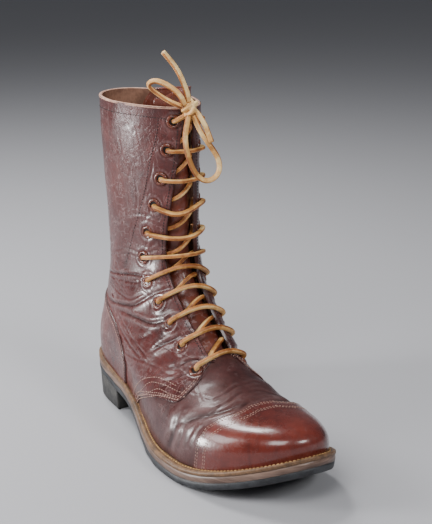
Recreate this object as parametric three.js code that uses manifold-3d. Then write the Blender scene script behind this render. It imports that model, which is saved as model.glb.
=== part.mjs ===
// Combat boot, right foot, standing empty on its sole. Millimetres, +Z up.
// The toe points to -Y, the lateral (outer) side faces -X, and the origin is the middle of the
// heel's flat underside on the floor.
import * as THREE from "three";
import { mergeVertices } from "three/addons/utils/BufferGeometryUtils.js";
import Module from "manifold-3d";

const wasm = await Module();
wasm.setup();

// Driving dimensions of the sole
const SOLE_LENGTH = 305;
const BALL_WIDTH = 107.5;
const HEEL_LENGTH = 67;
const HEEL_HEIGHT = 27;
const HEEL_BREAST_HEIGHT = 18.5;
const TOE_SPRING = 28;
const RUBBER_THICKNESS = 5.9;
const MIDSOLE_THICKNESS = 5.4;
const WELT_THICKNESS = 3.7;
const INSOLE_THICKNESS = 4.2;
const HEEL_AXIS = 32;
const TREAD_DEPTH = 2.4;
const TREAD_PITCH = 9;
const TREAD_GROOVE = 2.6;
const TREAD_MARGIN = 5;
const MIDSOLE_INSET = 0.3;
const RUBBER_INSET = 0.7;
const HEEL_INSET = 1.2;
const HEEL_TAPER = 1.6;
const BREAST_HOLLOW = 3;
const EDGE_ROUND = 0.8;

// Driving dimensions of the upper
const BOOT_HEIGHT = 272;
const INSTEP_RISE = 76;
const WELT_SHOW = 7;
const VAMP_WALL = 1.8;
const QUARTER_STEP = 1.0;
const TOE_CAP_THICKNESS = 1.4;
const COUNTER_THICKNESS = 1.3;
const TONGUE_THICKNESS = 2;
const TONGUE_LAP = 9;
const TONGUE_ABOVE_COLLAR = 11;

// Driving dimensions of the eyelets and the lace
const HOLE_RADIUS = 3.4;
const EYELET_BORE = 2.6;
const EYELET_FLANGE = 4.8;
const FLANGE_THICKNESS = 0.9;
const LACE_DIAMETER = 2.9;

// Clearance that every piece keeps to its neighbour
const GAP = 0.3;

// Fineness of the faceted surfaces
const AROUND = 15;
const EYELET_SIDES = 8;
const LACE_SIDES = 6;
const CORD_SIDES = 8;

const SOLE_STACK = RUBBER_THICKNESS + MIDSOLE_THICKNESS + WELT_THICKNESS;
const LACE_RADIUS = LACE_DIAMETER / 2;
const DEG = Math.PI / 180;

// The sole's edge, in steps of 15 degrees from the heel's back (0) to the toe (180).
// Columns: centre line and half width at that angle, as shares of the ball width, and the share
// of the shown welt that lies outside the upper.
const OUTLINE = [
  { centre: 0.0, half: 0.516, show: 0.71 },
  { centre: 0.0, half: 0.558, show: 0.71 },
  { centre: 0.014, half: 0.54, show: 0.71 },
  { centre: 0.009, half: 0.442, show: 0.64 },
  { centre: -0.019, half: 0.358, show: 0.57 },
  { centre: -0.06, half: 0.34, show: 0.57 },
  { centre: -0.079, half: 0.409, show: 0.71 },
  { centre: -0.065, half: 0.502, show: 0.93 },
  { centre: -0.023, half: 0.577, show: 1 },
  { centre: 0.037, half: 0.651, show: 1 },
  { centre: 0.066, half: 0.675, show: 1 },
  { centre: 0.084, half: 0.72, show: 1 },
  { centre: 0.092, half: 0.73, show: 1 },
];

// Sections of the upper from the welt (first row) to the collar (last row). Each section is a
// loop that leans from a back point up the heel to a front point on the instep ridge.
// back, front: distance from the heel's back, share of the sole's length
// backUp, frontUp: height, share of the instep's rise, or of the shaft's rise above it
// lateral, medial: half widths, share of the ball width
// widest: where along the loop it is widest; heelFull, noseFull: fullness of its two ends
// heelSide, ridgeSide: sideways place of its ends, share of the ball width
// oval: 0 where the loop follows the sole's outline, 1 where it is an oval of its own
const SECTIONS = [
  { back: null, backUp: 0, front: null, frontUp: 0, lateral: 0.437, medial: 0.391, widest: 0.7,
    heelFull: 2.4, noseFull: 2.4, heelSide: 0, ridgeSide: 0.065, oval: 0, shaft: false },
  { back: 0.0066, backUp: 0.113, front: 0.978, frontUp: 0.122, lateral: 0.437, medial: 0.4, widest: 0.68,
    heelFull: 2.4, noseFull: 2.4, heelSide: 0, ridgeSide: 0.056, oval: 0.05, shaft: false },
  { back: 0.0026, backUp: 0.205, front: 0.962, frontUp: 0.205, lateral: 0.428, medial: 0.391, widest: 0.66,
    heelFull: 2.4, noseFull: 2.4, heelSide: 0, ridgeSide: 0.0465, oval: 0.15, shaft: false },
  { back: 0.0026, backUp: 0.304, front: 0.912, frontUp: 0.245, lateral: 0.4, medial: 0.358, widest: 0.63,
    heelFull: 2.4, noseFull: 2.3, heelSide: 0, ridgeSide: 0.037, oval: 0.35, shaft: false },
  { back: 0.0046, backUp: 0.403, front: 0.8131, frontUp: 0.254, lateral: 0.363, medial: 0.33, widest: 0.6,
    heelFull: 2.4, noseFull: 2.1, heelSide: 0, ridgeSide: 0.0326, oval: 0.65, shaft: false },
  { back: 0.0092, backUp: 0.508, front: 0.6967, frontUp: 0.339, lateral: 0.33, medial: 0.312, widest: 0.55,
    heelFull: 2.4, noseFull: 1.9, heelSide: 0.005, ridgeSide: 0.0326, oval: 0.9, shaft: false },
  { back: 0.0141, backUp: 0.626, front: 0.6164, frontUp: 0.495, lateral: 0.307, medial: 0.307, widest: 0.52,
    heelFull: 2.4, noseFull: 1.7, heelSide: 0.009, ridgeSide: 0.042, oval: 1, shaft: false },
  { back: 0.022, backUp: 0.771, front: 0.5279, frontUp: 0.732, lateral: 0.284, medial: 0.312, widest: 0.5,
    heelFull: 2.3, noseFull: 1.65, heelSide: 0.014, ridgeSide: 0.051, oval: 1, shaft: false },
  { back: 0.0302, backUp: 0.955, front: 0.4459, frontUp: 1, lateral: 0.265, medial: 0.316, widest: 0.48,
    heelFull: 2.3, noseFull: 1.6, heelSide: 0.023, ridgeSide: 0.056, oval: 1, shaft: false },
  { back: 0.0361, backUp: 0.0945, front: 0.3852, frontUp: 0.175, lateral: 0.26, medial: 0.316, widest: 0.46,
    heelFull: 2.2, noseFull: 1.55, heelSide: 0.033, ridgeSide: 0.0605, oval: 1, shaft: true },
  { back: 0.0367, backUp: 0.327, front: 0.382, frontUp: 0.418, lateral: 0.284, medial: 0.307, widest: 0.46,
    heelFull: 2.2, noseFull: 1.5, heelSide: 0.037, ridgeSide: 0.065, oval: 1, shaft: true },
  { back: 0.0328, backUp: 0.625, front: 0.3836, frontUp: 0.677, lateral: 0.321, medial: 0.298, widest: 0.47,
    heelFull: 2.2, noseFull: 1.45, heelSide: 0.033, ridgeSide: 0.07, oval: 1, shaft: true },
  { back: 0.0295, backUp: 1, front: 0.3902, frontUp: 1, lateral: 0.353, medial: 0.288, widest: 0.48,
    heelFull: 2.2, noseFull: 1.45, heelSide: 0.023, ridgeSide: 0.079, oval: 1, shaft: true },
];

// Rows of eyelets, top first. level: place between welt (0) and collar (1); reach: distance
// sideways from the instep ridge, share of the ball width.
const EYELET_ROWS = [
  { level: 0.982, reach: 0.112 },
  { level: 0.944, reach: 0.14 },
  { level: 0.901, reach: 0.167 },
  { level: 0.855, reach: 0.191 },
  { level: 0.805, reach: 0.209 },
  { level: 0.755, reach: 0.219 },
  { level: 0.697, reach: 0.219 },
  { level: 0.64, reach: 0.214 },
  { level: 0.583, reach: 0.209 },
  { level: 0.525, reach: 0.207 },
  { level: 0.454, reach: 0.209 },
];

// The throat between the facings, from its base to the collar. level: place on the instep
// ridge; half: half width, share of the ball width.
const THROAT = [
  { level: 0.474, half: 0.008 },
  { level: 0.482, half: 0.05 },
  { level: 0.495, half: 0.085 },
  { level: 0.52, half: 0.105 },
  { level: 0.6, half: 0.112 },
  { level: 0.68, half: 0.117 },
  { level: 0.75, half: 0.128 },
  { level: 0.82, half: 0.122 },
  { level: 0.88, half: 0.098 },
  { level: 0.94, half: 0.065 },
  { level: 1, half: 0.048 },
];

// Edges in the side view: along is the distance from the heel's back and up the height, as
// shares of the sole's length and of the height where the instep starts.
const QUARTER_EDGE = [
  { along: 0.62, up: 1.3 },
  { along: 0.602, up: 0.68 },
  { along: 0.608, up: 0.625 },
  { along: 0.621, up: 0.57 },
  { along: 0.625, up: 0.51 },
  { along: 0.621, up: 0.46 },
  { along: 0.606, up: 0.446 },
  { along: 0.575, up: 0.437 },
  { along: 0.525, up: 0.41 },
  { along: 0.465, up: 0.36 },
  { along: 0.4, up: 0.28 },
  { along: 0.368, up: 0.16 },
  { along: 0.35, up: 0 },
];
const CAP_EDGE = [
  { along: 0.755, up: 0 },
  { along: 0.757, up: 0.15 },
  { along: 0.762, up: 0.285 },
  { along: 0.77, up: 0.4 },
  { along: 0.778, up: 0.46 },
  { along: 0.782, up: 0.5 },
  { along: 0.777, up: 0.53 },
  { along: 0.775, up: 1 },
];
const COUNTER_EDGE = [
  { along: 0.28, up: 0 },
  { along: 0.28, up: 0.12 },
  { along: 0.284, up: 0.27 },
  { along: 0.3, up: 0.4 },
  { along: 0.3, up: 0.5 },
  { along: 0.266, up: 0.6 },
  { along: 0.207, up: 0.681 },
  { along: 0.149, up: 0.73 },
  { along: 0.078, up: 0.782 },
  { along: 0.033, up: 0.817 },
  { along: -0.04, up: 0.85 },
];

// Natural cubic spline through the values of one column, with equal steps over span.
function spline(values, span) {
  const count = values.length;
  const bend = new Array(count).fill(0);
  const share = new Array(count).fill(0);
  for (let i = 1; i < count - 1; i += 1) {
    const rest = 4 - share[i - 1];
    share[i] = 1 / rest;
    bend[i] = (6 * (values[i + 1] - 2 * values[i] + values[i - 1]) - bend[i - 1]) / rest;
  }
  for (let i = count - 2; i > 0; i -= 1) {
    bend[i] -= share[i] * bend[i + 1];
  }
  return (place) => {
    const x = (Math.min(Math.max(place, 0), span) / span) * (count - 1);
    const i = Math.min(Math.floor(x), count - 2);
    const f = x - i;
    const g = 1 - f;
    const bent = ((g * g * g - g) * bend[i] + (f * f * f - f) * bend[i + 1]) / 6;
    return values[i] * g + values[i + 1] * f + bent;
  };
}

function columnSpline(rows, name, unit, span) {
  return spline(rows.map((row) => row[name] * unit), span);
}

// Straight lines between the rows of a table whose first column is level.
function tableAt(rows, level, name) {
  const last = rows.length - 1;
  if (level <= rows[0].level) return rows[0][name];
  if (level >= rows[last].level) return rows[last][name];
  const i = rows.findIndex((row) => row.level > level);
  const f = (level - rows[i - 1].level) / (rows[i].level - rows[i - 1].level);
  return rows[i - 1][name] * (1 - f) + rows[i][name] * f;
}

const centreAt = columnSpline(OUTLINE, "centre", BALL_WIDTH, Math.PI);
const halfAt = columnSpline(OUTLINE, "half", BALL_WIDTH, Math.PI);
const showAt = columnSpline(OUTLINE, "show", WELT_SHOW, Math.PI);

// Point of the sole's edge at an angle from the heel's back, on one side (-1 lateral, 1 medial),
// moved inwards square to the edge.
function edgePoint(angle, side, inset) {
  const step = 0.001;
  const at = (a) => [centreAt(a) + side * halfAt(a) * Math.sin(a), (SOLE_LENGTH * (1 - Math.cos(a))) / 2];
  const [x, along] = at(angle);
  const [x1, along1] = at(angle + step);
  const [x0, along0] = at(angle - step);
  const run = Math.hypot(x1 - x0, along1 - along0);
  const outX = (side * (along1 - along0)) / run;
  const outAlong = (-side * (x1 - x0)) / run;
  return [x - inset * outX, along - inset * outAlong];
}

// Height of the outsole's underside: a wedge over the heel, a falling waist, the flat tread
// and the toe spring.
const WAIST_END = 0.6 * SOLE_LENGTH;
const SPRING_START = 0.695 * SOLE_LENGTH;
function undersideAt(along) {
  const waist = Math.min(Math.max((along - HEEL_LENGTH) / (WAIST_END - HEEL_LENGTH), 0), 1);
  const wedge = Math.min(along / HEEL_LENGTH, 1);
  const heel = HEEL_HEIGHT + (HEEL_BREAST_HEIGHT - HEEL_HEIGHT) * wedge;
  const arch = HEEL_BREAST_HEIGHT * (1 - waist * waist * (3 - 2 * waist));
  const lift = Math.max((along - SPRING_START) / (SOLE_LENGTH - SPRING_START), 0);
  return (along < HEEL_LENGTH ? heel : arch) + TOE_SPRING * Math.pow(lift, 1.7);
}

const footEnds = [edgePoint(0, 1, showAt(0))[1], edgePoint(Math.PI, 1, showAt(Math.PI))[1]];
const featherEnds = footEnds.map((along) => undersideAt(along) + SOLE_STACK);
const shaftBase = featherEnds[0] + INSTEP_RISE;
const shaftRise = BOOT_HEIGHT - shaftBase;

function heightOf(row, base, up) {
  return row.shaft ? shaftBase + up * shaftRise : base + up * INSTEP_RISE;
}
const sectionRows = SECTIONS.map((row) => ({
  ...row,
  back: row.back === null ? footEnds[0] / SOLE_LENGTH : row.back,
  front: row.front === null ? footEnds[1] / SOLE_LENGTH : row.front,
  backZ: heightOf(row, featherEnds[0], row.backUp),
  frontZ: heightOf(row, featherEnds[1] * (1 - row.oval) + featherEnds[0] * row.oval, row.frontUp),
}));
const column = (name, unit) => columnSpline(sectionRows, name, unit, 1);
const section = {
  back: column("back", SOLE_LENGTH),
  front: column("front", SOLE_LENGTH),
  backZ: column("backZ", 1),
  frontZ: column("frontZ", 1),
  lateral: column("lateral", BALL_WIDTH),
  medial: column("medial", BALL_WIDTH),
  widest: column("widest", 1),
  heelFull: column("heelFull", 1),
  noseFull: column("noseFull", 1),
  heelSide: column("heelSide", BALL_WIDTH),
  ridgeSide: column("ridgeSide", BALL_WIDTH),
  oval: column("oval", 1),
};

// Point of the vamp's outer face. turn runs from -180 degrees (toe or instep ridge) over the
// lateral side, 0 (heel's back) and the medial side to 180 degrees; level runs from the welt (0)
// to the collar (1).
function surface(turn, level) {
  const past = Math.abs(turn) > Math.PI;
  const angle = past ? 2 * Math.PI - Math.abs(turn) : Math.abs(turn);
  const side = (turn < 0) === past ? 1 : -1;
  const [footX, footAlong] = edgePoint(angle, side, showAt(angle));
  const t = Math.min(Math.max((footAlong - footEnds[0]) / (footEnds[1] - footEnds[0]), 0), 1);
  const feather = undersideAt(footAlong) + SOLE_STACK;
  const dip = feather - (featherEnds[0] + (featherEnds[1] - featherEnds[0]) * t);
  const oval = Math.min(Math.max(section.oval(level), 0), 1);
  const back = section.back(level);
  const backZ = section.backZ(level);
  const along = back + (section.front(level) - back) * t;
  const z = backZ + (section.frontZ(level) - backZ) * t + dip * (1 - oval);
  const widest = section.widest(level);
  const behind = t < widest;
  const off = Math.min(Math.abs(t - widest) / (behind ? widest : 1 - widest), 1);
  const full = behind ? section.heelFull(level) : section.noseFull(level);
  const bulge = Math.sqrt(Math.max(1 - Math.pow(off, full), 0));
  const half = side < 0 ? section.lateral(level) : section.medial(level);
  const heelSide = section.heelSide(level);
  const ovalX = heelSide + (section.ridgeSide(level) - heelSide) * t + side * half * bulge;
  return new THREE.Vector3(footX * (1 - oval) + ovalX * oval, HEEL_AXIS - along, z);
}

// Outward direction of that face; flat at the welt and at the collar, where the wall ends.
function outward(turn, level) {
  const step = 0.004;
  const low = Math.max(level - step, 0);
  const high = Math.min(level + step, 1);
  const around = surface(turn + step, level).sub(surface(turn - step, level));
  const up = surface(turn, high).sub(surface(turn, low));
  const normal = up.cross(around);
  if (level === 0 || level === 1) normal.z = 0;
  return normal.normalize();
}

function offsetPoint(turn, level, offset) {
  const point = surface(turn, level).addScaledVector(outward(turn, level), offset);
  if (level === 0) point.z = undersideAt(HEEL_AXIS - point.y) + SOLE_STACK + GAP;
  return point;
}

// Turn at which the face lies a given distance sideways from the instep ridge.
function turnAt(level, side, reach) {
  const ridge = surface(Math.PI, level).x;
  let low = Math.PI / 2;
  let high = Math.PI;
  for (let i = 0; i < 40; i += 1) {
    const middle = (low + high) / 2;
    if (Math.abs(surface(side * middle, level).x - ridge) > reach) low = middle;
    else high = middle;
  }
  return (side * (low + high)) / 2;
}

// Closed mesh from rings of points; a ring is closed round, and caps join each point of an end
// ring to its mirror, whose number and its own add up to pairSum. Points that coincide are
// merged and empty triangles dropped.
function loft(rings, closedAlong, pairSum = rings[0].length - 1) {
  const count = rings[0].length;
  const triangles = [];
  const quad = (a, b, c, d) => triangles.push([a, b, c], [a, c, d]);
  const bands = closedAlong ? rings.length : rings.length - 1;
  for (let r = 0; r < bands; r += 1) {
    const next = rings[(r + 1) % rings.length];
    for (let i = 0; i < count; i += 1) {
      const j = (i + 1) % count;
      quad(rings[r][i], rings[r][j], next[j], next[i]);
    }
  }
  if (!closedAlong) {
    const top = rings[rings.length - 1];
    const wrap = (i) => (i + count) % count;
    for (let i = pairSum + 1 - count; i < count / 2 - 1; i += 1) {
      const [a, b, c, d] = [i, i + 1, pairSum - i - 1, pairSum - i].map(wrap);
      quad(rings[0][a], rings[0][d], rings[0][c], rings[0][b]);
      quad(top[a], top[b], top[c], top[d]);
    }
  }
  const index = new Map();
  const vertices = [];
  const numbers = [];
  const numberOf = (point) => {
    const key = `${point.x.toFixed(4)},${point.y.toFixed(4)},${point.z.toFixed(4)}`;
    if (!index.has(key)) {
      index.set(key, vertices.length / 3);
      vertices.push(point.x, point.y, point.z);
    }
    return index.get(key);
  };
  for (const triangle of triangles) {
    const [a, b, c] = triangle.map(numberOf);
    if (a !== b && b !== c && c !== a) numbers.push(a, b, c);
  }
  return solidOf(vertices, numbers);
}

// Solid with its triangles facing out, whichever way round they were listed.
function solidOf(vertices, numbers) {
  const make = (list) => new wasm.Manifold(new wasm.Mesh({
    numProp: 3,
    vertProperties: Float32Array.from(vertices),
    triVerts: Uint32Array.from(list),
  }));
  const solid = make(numbers);
  return solid.volume() < 0 ? make(Array.from(numbers).reverse()) : solid;
}

function toSolid(geometry) {
  const bare = geometry.clone();
  bare.deleteAttribute("normal");
  bare.deleteAttribute("uv");
  const merged = mergeVertices(bare, 1e-4);
  return solidOf(merged.attributes.position.array, merged.index.array);
}

function toGeometry(solid) {
  const mesh = solid.getMesh();
  const geometry = new THREE.BufferGeometry();
  geometry.setAttribute("position", new THREE.BufferAttribute(mesh.vertProperties, 3));
  geometry.setIndex(new THREE.BufferAttribute(mesh.triVerts, 1));
  return geometry;
}

const range = (count) => Array.from({ length: count }, (_, i) => i);
const turns = range(2 * AROUND).map((i) => ((i - AROUND + 1) / AROUND) * Math.PI);
const LEVELS = [0, 0.04, 0.1, 0.16, 0.22, 0.29, 0.36, 0.42, 0.46, 0.52, 0.58, 0.64, 0.69, 0.73, 0.77, 0.82,
  0.88, 0.94, 1];

// Closed form of the upper at an offset from its outer face, reaching past welt and collar.
function bootForm(offset, below, above, levels = LEVELS) {
  const rings = levels.map((level) => turns.map((turn) => offsetPoint(turn, level, offset)));
  const raise = (ring, by) => ring.map((point) => new THREE.Vector3(point.x, point.y, point.z + by));
  if (below > 0) rings.unshift(raise(rings[0], -below));
  if (above > 0) rings.push(raise(rings[rings.length - 1], above));
  return loft(rings, false, 2 * AROUND - 2);
}

// Solid block right through the boot, with the side-view outline given by an edge table that is
// closed along a far line.
function sideBlock(edge, farPoints) {
  const place = (row) => new THREE.Vector2(row.along * SOLE_LENGTH, row.up * shaftBase);
  const bend = new THREE.SplineCurve(edge.map(place)).getPoints(2 * (edge.length - 1));
  const shape = new THREE.Shape([...bend, ...farPoints.map(place)]);
  const block = new THREE.ExtrudeGeometry(shape, { depth: 2 * BALL_WIDTH, bevelEnabled: false });
  const along = new THREE.Vector3(0, -1, 0);
  const up = new THREE.Vector3(0, 0, 1);
  const across = new THREE.Vector3(-1, 0, 0);
  block.applyMatrix4(new THREE.Matrix4().makeBasis(along, up, across));
  block.translate(BALL_WIDTH, HEEL_AXIS, 0);
  return toSolid(block);
}

// The throat: a long wedge cut along the instep ridge.
function throatCut() {
  const depth = 30;
  const rings = [];
  for (const row of THROAT) {
    const middle = surface(Math.PI, row.level);
    const out = outward(Math.PI, Math.min(row.level, 0.999));
    out.x = 0;
    out.normalize();
    const half = row.half * BALL_WIDTH;
    const corner = (side, far) => middle.clone().addScaledVector(out, far).add(new THREE.Vector3(side * half, 0, 0));
    rings.push([corner(-1, -depth), corner(-1, 0), corner(-1, depth), corner(1, depth), corner(1, 0), corner(1, -depth)]);
  }
  const top = rings[rings.length - 1].map((point) => point.clone().add(new THREE.Vector3(0, 0, 8)));
  rings.push(top);
  return loft(rings, false);
}

// Place and direction of an eyelet on the quarter's outer face.
function eyeletSeat(row, side) {
  const turn = turnAt(row.level, side, row.reach * BALL_WIDTH);
  return { turn, point: surface(turn, row.level), out: outward(turn, row.level) };
}

function alongDirection(geometry, seat, offset) {
  const turned = new THREE.Quaternion().setFromUnitVectors(new THREE.Vector3(0, 1, 0), seat.out);
  const place = seat.point.clone().addScaledVector(seat.out, offset);
  geometry.applyMatrix4(new THREE.Matrix4().compose(place, turned, new THREE.Vector3(1, 1, 1)));
  return geometry;
}

const FLANGE_SEAT = QUARTER_STEP + 1.5 * GAP;
const BARREL_INNER = -VAMP_WALL - 0.6;

function buildUpper() {
  const farBack = [{ along: -0.2, up: -0.1 }, { along: -0.2, up: 2.6 }, { along: 0.62, up: 2.6 }];
  const quarter = bootForm(QUARTER_STEP, 0, 0).intersect(sideBlock(QUARTER_EDGE.slice().reverse(), [
    farBack[2], farBack[1], farBack[0]]));
  let solid = bootForm(0, 0, 0).add(quarter);
  solid = solid.subtract(bootForm(-VAMP_WALL, 5, 5));
  solid = solid.subtract(throatCut());
  for (const row of EYELET_ROWS) {
    for (const side of [-1, 1]) {
      const seat = eyeletSeat(row, side);
      const drill = new THREE.CylinderGeometry(HOLE_RADIUS, HOLE_RADIUS, 12, EYELET_SIDES);
      solid = solid.subtract(toSolid(alongDirection(drill, seat, 0)));
    }
  }
  return solid;
}

function buildOverlay(edge, far, inner, thickness) {
  const block = sideBlock(edge, far);
  const outer = bootForm(inner + thickness, 0, 0);
  const under = bootForm(inner, 4, 4);
  return outer.subtract(under).intersect(block);
}

function buildToeCap() {
  const far = [{ along: 1.1, up: 1 }, { along: 1.1, up: 0 }];
  return buildOverlay(CAP_EDGE, far, GAP, TOE_CAP_THICKNESS);
}

function buildCounter() {
  const far = [{ along: -0.04, up: 0 }];
  return buildOverlay(COUNTER_EDGE, far, QUARTER_STEP + GAP, COUNTER_THICKNESS);
}

// The tongue: a curved leaf behind the facings, sewn under the throat's base and standing above
// the collar. Columns: level, width beyond the throat as a share of the lap, depth below the
// outer face.
const TONGUE_ROWS = [
  { level: 0.425, lap: 0.5, depth: VAMP_WALL + 4 * GAP },
  { level: 0.455, lap: 0.9, depth: VAMP_WALL + LACE_DIAMETER + 5 * GAP },
  { level: 0.5, lap: 1, depth: VAMP_WALL + LACE_DIAMETER + 8 * GAP },
  { level: 0.86, lap: 1.05, depth: VAMP_WALL + LACE_DIAMETER + 8 * GAP },
  { level: 1, lap: 2.3, depth: VAMP_WALL + LACE_DIAMETER + 8 * GAP },
];
// The tongue's rounded top. Columns: height as a share of that above the collar, width as a share
// of that at the collar.
const TONGUE_TOP = [
  { rise: 0.45, width: 0.99 },
  { rise: 0.8, width: 0.88 },
  { rise: 1, width: 0.66 },
];
const TONGUE_LEAN = 2.5;
const TONGUE_LEVELS = [0.425, 0.455, 0.49, 0.53, 0.57, 0.61, 0.65, 0.69, 0.73, 0.77, 0.82, 0.88, 0.94, 1];

function buildTongue() {
  const across = 10;
  const rings = TONGUE_LEVELS.map((level) => {
    const half = tableAt(THROAT, level, "half") * BALL_WIDTH + TONGUE_LAP * tableAt(TONGUE_ROWS, level, "lap");
    const depth = tableAt(TONGUE_ROWS, level, "depth");
    const edge = { "-1": Math.abs(turnAt(level, -1, half)), "1": Math.abs(turnAt(level, 1, half)) };
    const face = (far) => range(across + 1).map((i) => {
      const share = (i / across) * 2 - 1;
      const side = share < 0 ? -1 : 1;
      const angle = Math.PI - Math.abs(share) * (Math.PI - edge[side]);
      const near = Math.min(level, 0.995);
      return surface(side * angle, level).addScaledVector(outward(side * angle, near), -far);
    });
    return [...face(depth), ...face(depth + TONGUE_THICKNESS).reverse()];
  });
  const last = rings[rings.length - 1];
  const middle = last[across / 2];
  for (const row of TONGUE_TOP) {
    rings.push(last.map((point) => {
      const moved = point.clone().sub(middle).multiply(new THREE.Vector3(row.width, row.width, 1)).add(middle);
      return moved.add(new THREE.Vector3(0, -TONGUE_LEAN * row.rise, TONGUE_ABOVE_COLLAR * row.rise));
    }));
  }
  return loft(rings, false);
}

// A layer of the sole between two heights above its underside.
function soleRing(inset, turnList) {
  return turnList.map((turn) => edgePoint(Math.abs(turn), turn < 0 ? -1 : 1, inset));
}
const soleTurns = range(56).map((i) => ((i - 28 + 0.5) / 28) * Math.PI);

function soleLayer(inset, low, high, round) {
  const ring = (extra, height) =>
    soleRing(inset + extra, soleTurns).map(([x, along]) => new THREE.Vector3(x, HEEL_AXIS - along, undersideAt(along) + height));
  return loft([ring(round, low), ring(0, low + round), ring(0, high - round), ring(round, high)], false);
}

function buildOutsole() {
  const body = soleLayer(RUBBER_INSET, 0, RUBBER_THICKNESS - GAP, EDGE_ROUND);
  const floor = soleLayer(RUBBER_INSET + TREAD_MARGIN, -2, TREAD_DEPTH, 0);
  let grooves = null;
  const first = WAIST_END - 5 * TREAD_PITCH;
  const count = Math.floor((SOLE_LENGTH - first) / TREAD_PITCH);
  for (const i of range(count)) {
    const bar = new THREE.BoxGeometry(2 * BALL_WIDTH, TREAD_GROOVE, 6 * TOE_SPRING);
    bar.translate(0, HEEL_AXIS - first - i * TREAD_PITCH, 0);
    const solid = toSolid(bar);
    grooves = grooves === null ? solid : grooves.add(solid);
  }
  return body.subtract(grooves.intersect(floor));
}

function buildMidsole() {
  return soleLayer(MIDSOLE_INSET, RUBBER_THICKNESS, RUBBER_THICKNESS + MIDSOLE_THICKNESS - GAP, EDGE_ROUND / 2);
}

// The welt is a flat ring that the upper stands on, from the sole's edge to the wall's inner face.
function buildWelt() {
  const low = RUBBER_THICKNESS + MIDSOLE_THICKNESS;
  const high = SOLE_STACK - GAP;
  const rings = soleTurns.map((turn) => {
    const angle = Math.abs(turn);
    const side = turn < 0 ? -1 : 1;
    const inner = showAt(angle) + VAMP_WALL;
    const at = (inset, height) => {
      const [x, along] = edgePoint(angle, side, inset);
      return new THREE.Vector3(x, HEEL_AXIS - along, undersideAt(along) + height);
    };
    const round = EDGE_ROUND / 2;
    return [at(round, low), at(0, low + round), at(0, high - round), at(round, high), at(inner, high), at(inner, low)];
  });
  return loft(rings, true);
}

function buildInsole() {
  const low = RUBBER_THICKNESS + MIDSOLE_THICKNESS;
  const ring = (height) => soleTurns.map((turn) => {
    const angle = Math.abs(turn);
    const inset = showAt(angle) + VAMP_WALL + 3 * GAP;
    const [x, along] = edgePoint(angle, turn < 0 ? -1 : 1, inset);
    return new THREE.Vector3(x, HEEL_AXIS - along, undersideAt(along) + height);
  });
  return loft([ring(low), ring(low + INSOLE_THICKNESS)], false);
}

// The heel block: the sole's outline behind a hollowed breast, drawn in towards the floor.
function buildHeel() {
  const steps = 28;
  const topAngle = Math.acos(1 - (2 * (HEEL_LENGTH - HEEL_INSET)) / SOLE_LENGTH);
  const ring = (share) => {
    const inset = HEEL_INSET + HEEL_TAPER * (1 - share);
    const points = range(steps + 1).map((i) => {
      const turn = ((i / steps) * 2 - 1) * topAngle;
      return edgePoint(Math.abs(turn), turn < 0 ? -1 : 1, inset);
    });
    const [lateralX, lateralAlong] = points[0];
    const [medialX, medialAlong] = points[steps];
    for (const i of range(7)) {
      const f = (i + 1) / 8;
      const along = medialAlong + (lateralAlong - medialAlong) * f - BREAST_HOLLOW * Math.sin(Math.PI * f);
      points.push([medialX + (lateralX - medialX) * f, along]);
    }
    return points;
  };
  const place = (points, height) =>
    points.map(([x, along]) => new THREE.Vector3(x, HEEL_AXIS - along, height(along)));
  const upper = (along) => undersideAt(along) - GAP;
  return loft([
    place(ring(0), () => 0),
    place(ring(0.5), (along) => upper(along) / 2),
    place(ring(1), upper),
  ], false);
}

function buildEyelet(row, side) {
  const inner = EYELET_BORE;
  const barrel = HOLE_RADIUS - GAP;
  const top = FLANGE_THICKNESS;
  const foot = BARREL_INNER - FLANGE_SEAT;
  const profile = [
    new THREE.Vector2(inner, foot),
    new THREE.Vector2(barrel, foot),
    new THREE.Vector2(barrel, 0),
    new THREE.Vector2(EYELET_FLANGE, 0),
    new THREE.Vector2(EYELET_FLANGE - 0.5, top * 0.8),
    new THREE.Vector2(inner + 0.4, top),
    new THREE.Vector2(inner, foot),
  ];
  const ring = new THREE.LatheGeometry(profile, EYELET_SIDES);
  return toSolid(alongDirection(ring, eyeletSeat(row, side), FLANGE_SEAT));
}

// A tube of round cord along points.
function cord(points, sides, steps) {
  const curve = new THREE.CatmullRomCurve3(points, false, "centripetal");
  const shape = new THREE.Shape(range(sides).map((i) => {
    const turn = (i / sides) * 2 * Math.PI;
    return new THREE.Vector2(Math.cos(turn) * LACE_RADIUS, Math.sin(turn) * LACE_RADIUS);
  }));
  return toSolid(new THREE.ExtrudeGeometry(shape, { steps, extrudePath: curve, curveSegments: 1 }));
}

// Depths of the lace's middle line, measured from the vamp's outer face.
const OVER_FLANGE = FLANGE_SEAT + FLANGE_THICKNESS + LACE_RADIUS + GAP;
const OVER_FACING = QUARTER_STEP + LACE_RADIUS + 2 * GAP;
const UNDER_FACING = -VAMP_WALL - LACE_RADIUS - 2.5 * GAP;

// Direction in which the instep ridge climbs at a level.
function climbAt(level) {
  const climb = surface(Math.PI, level + 0.01).sub(surface(Math.PI, level - 0.01));
  climb.x = 0;
  return climb.normalize();
}

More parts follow.
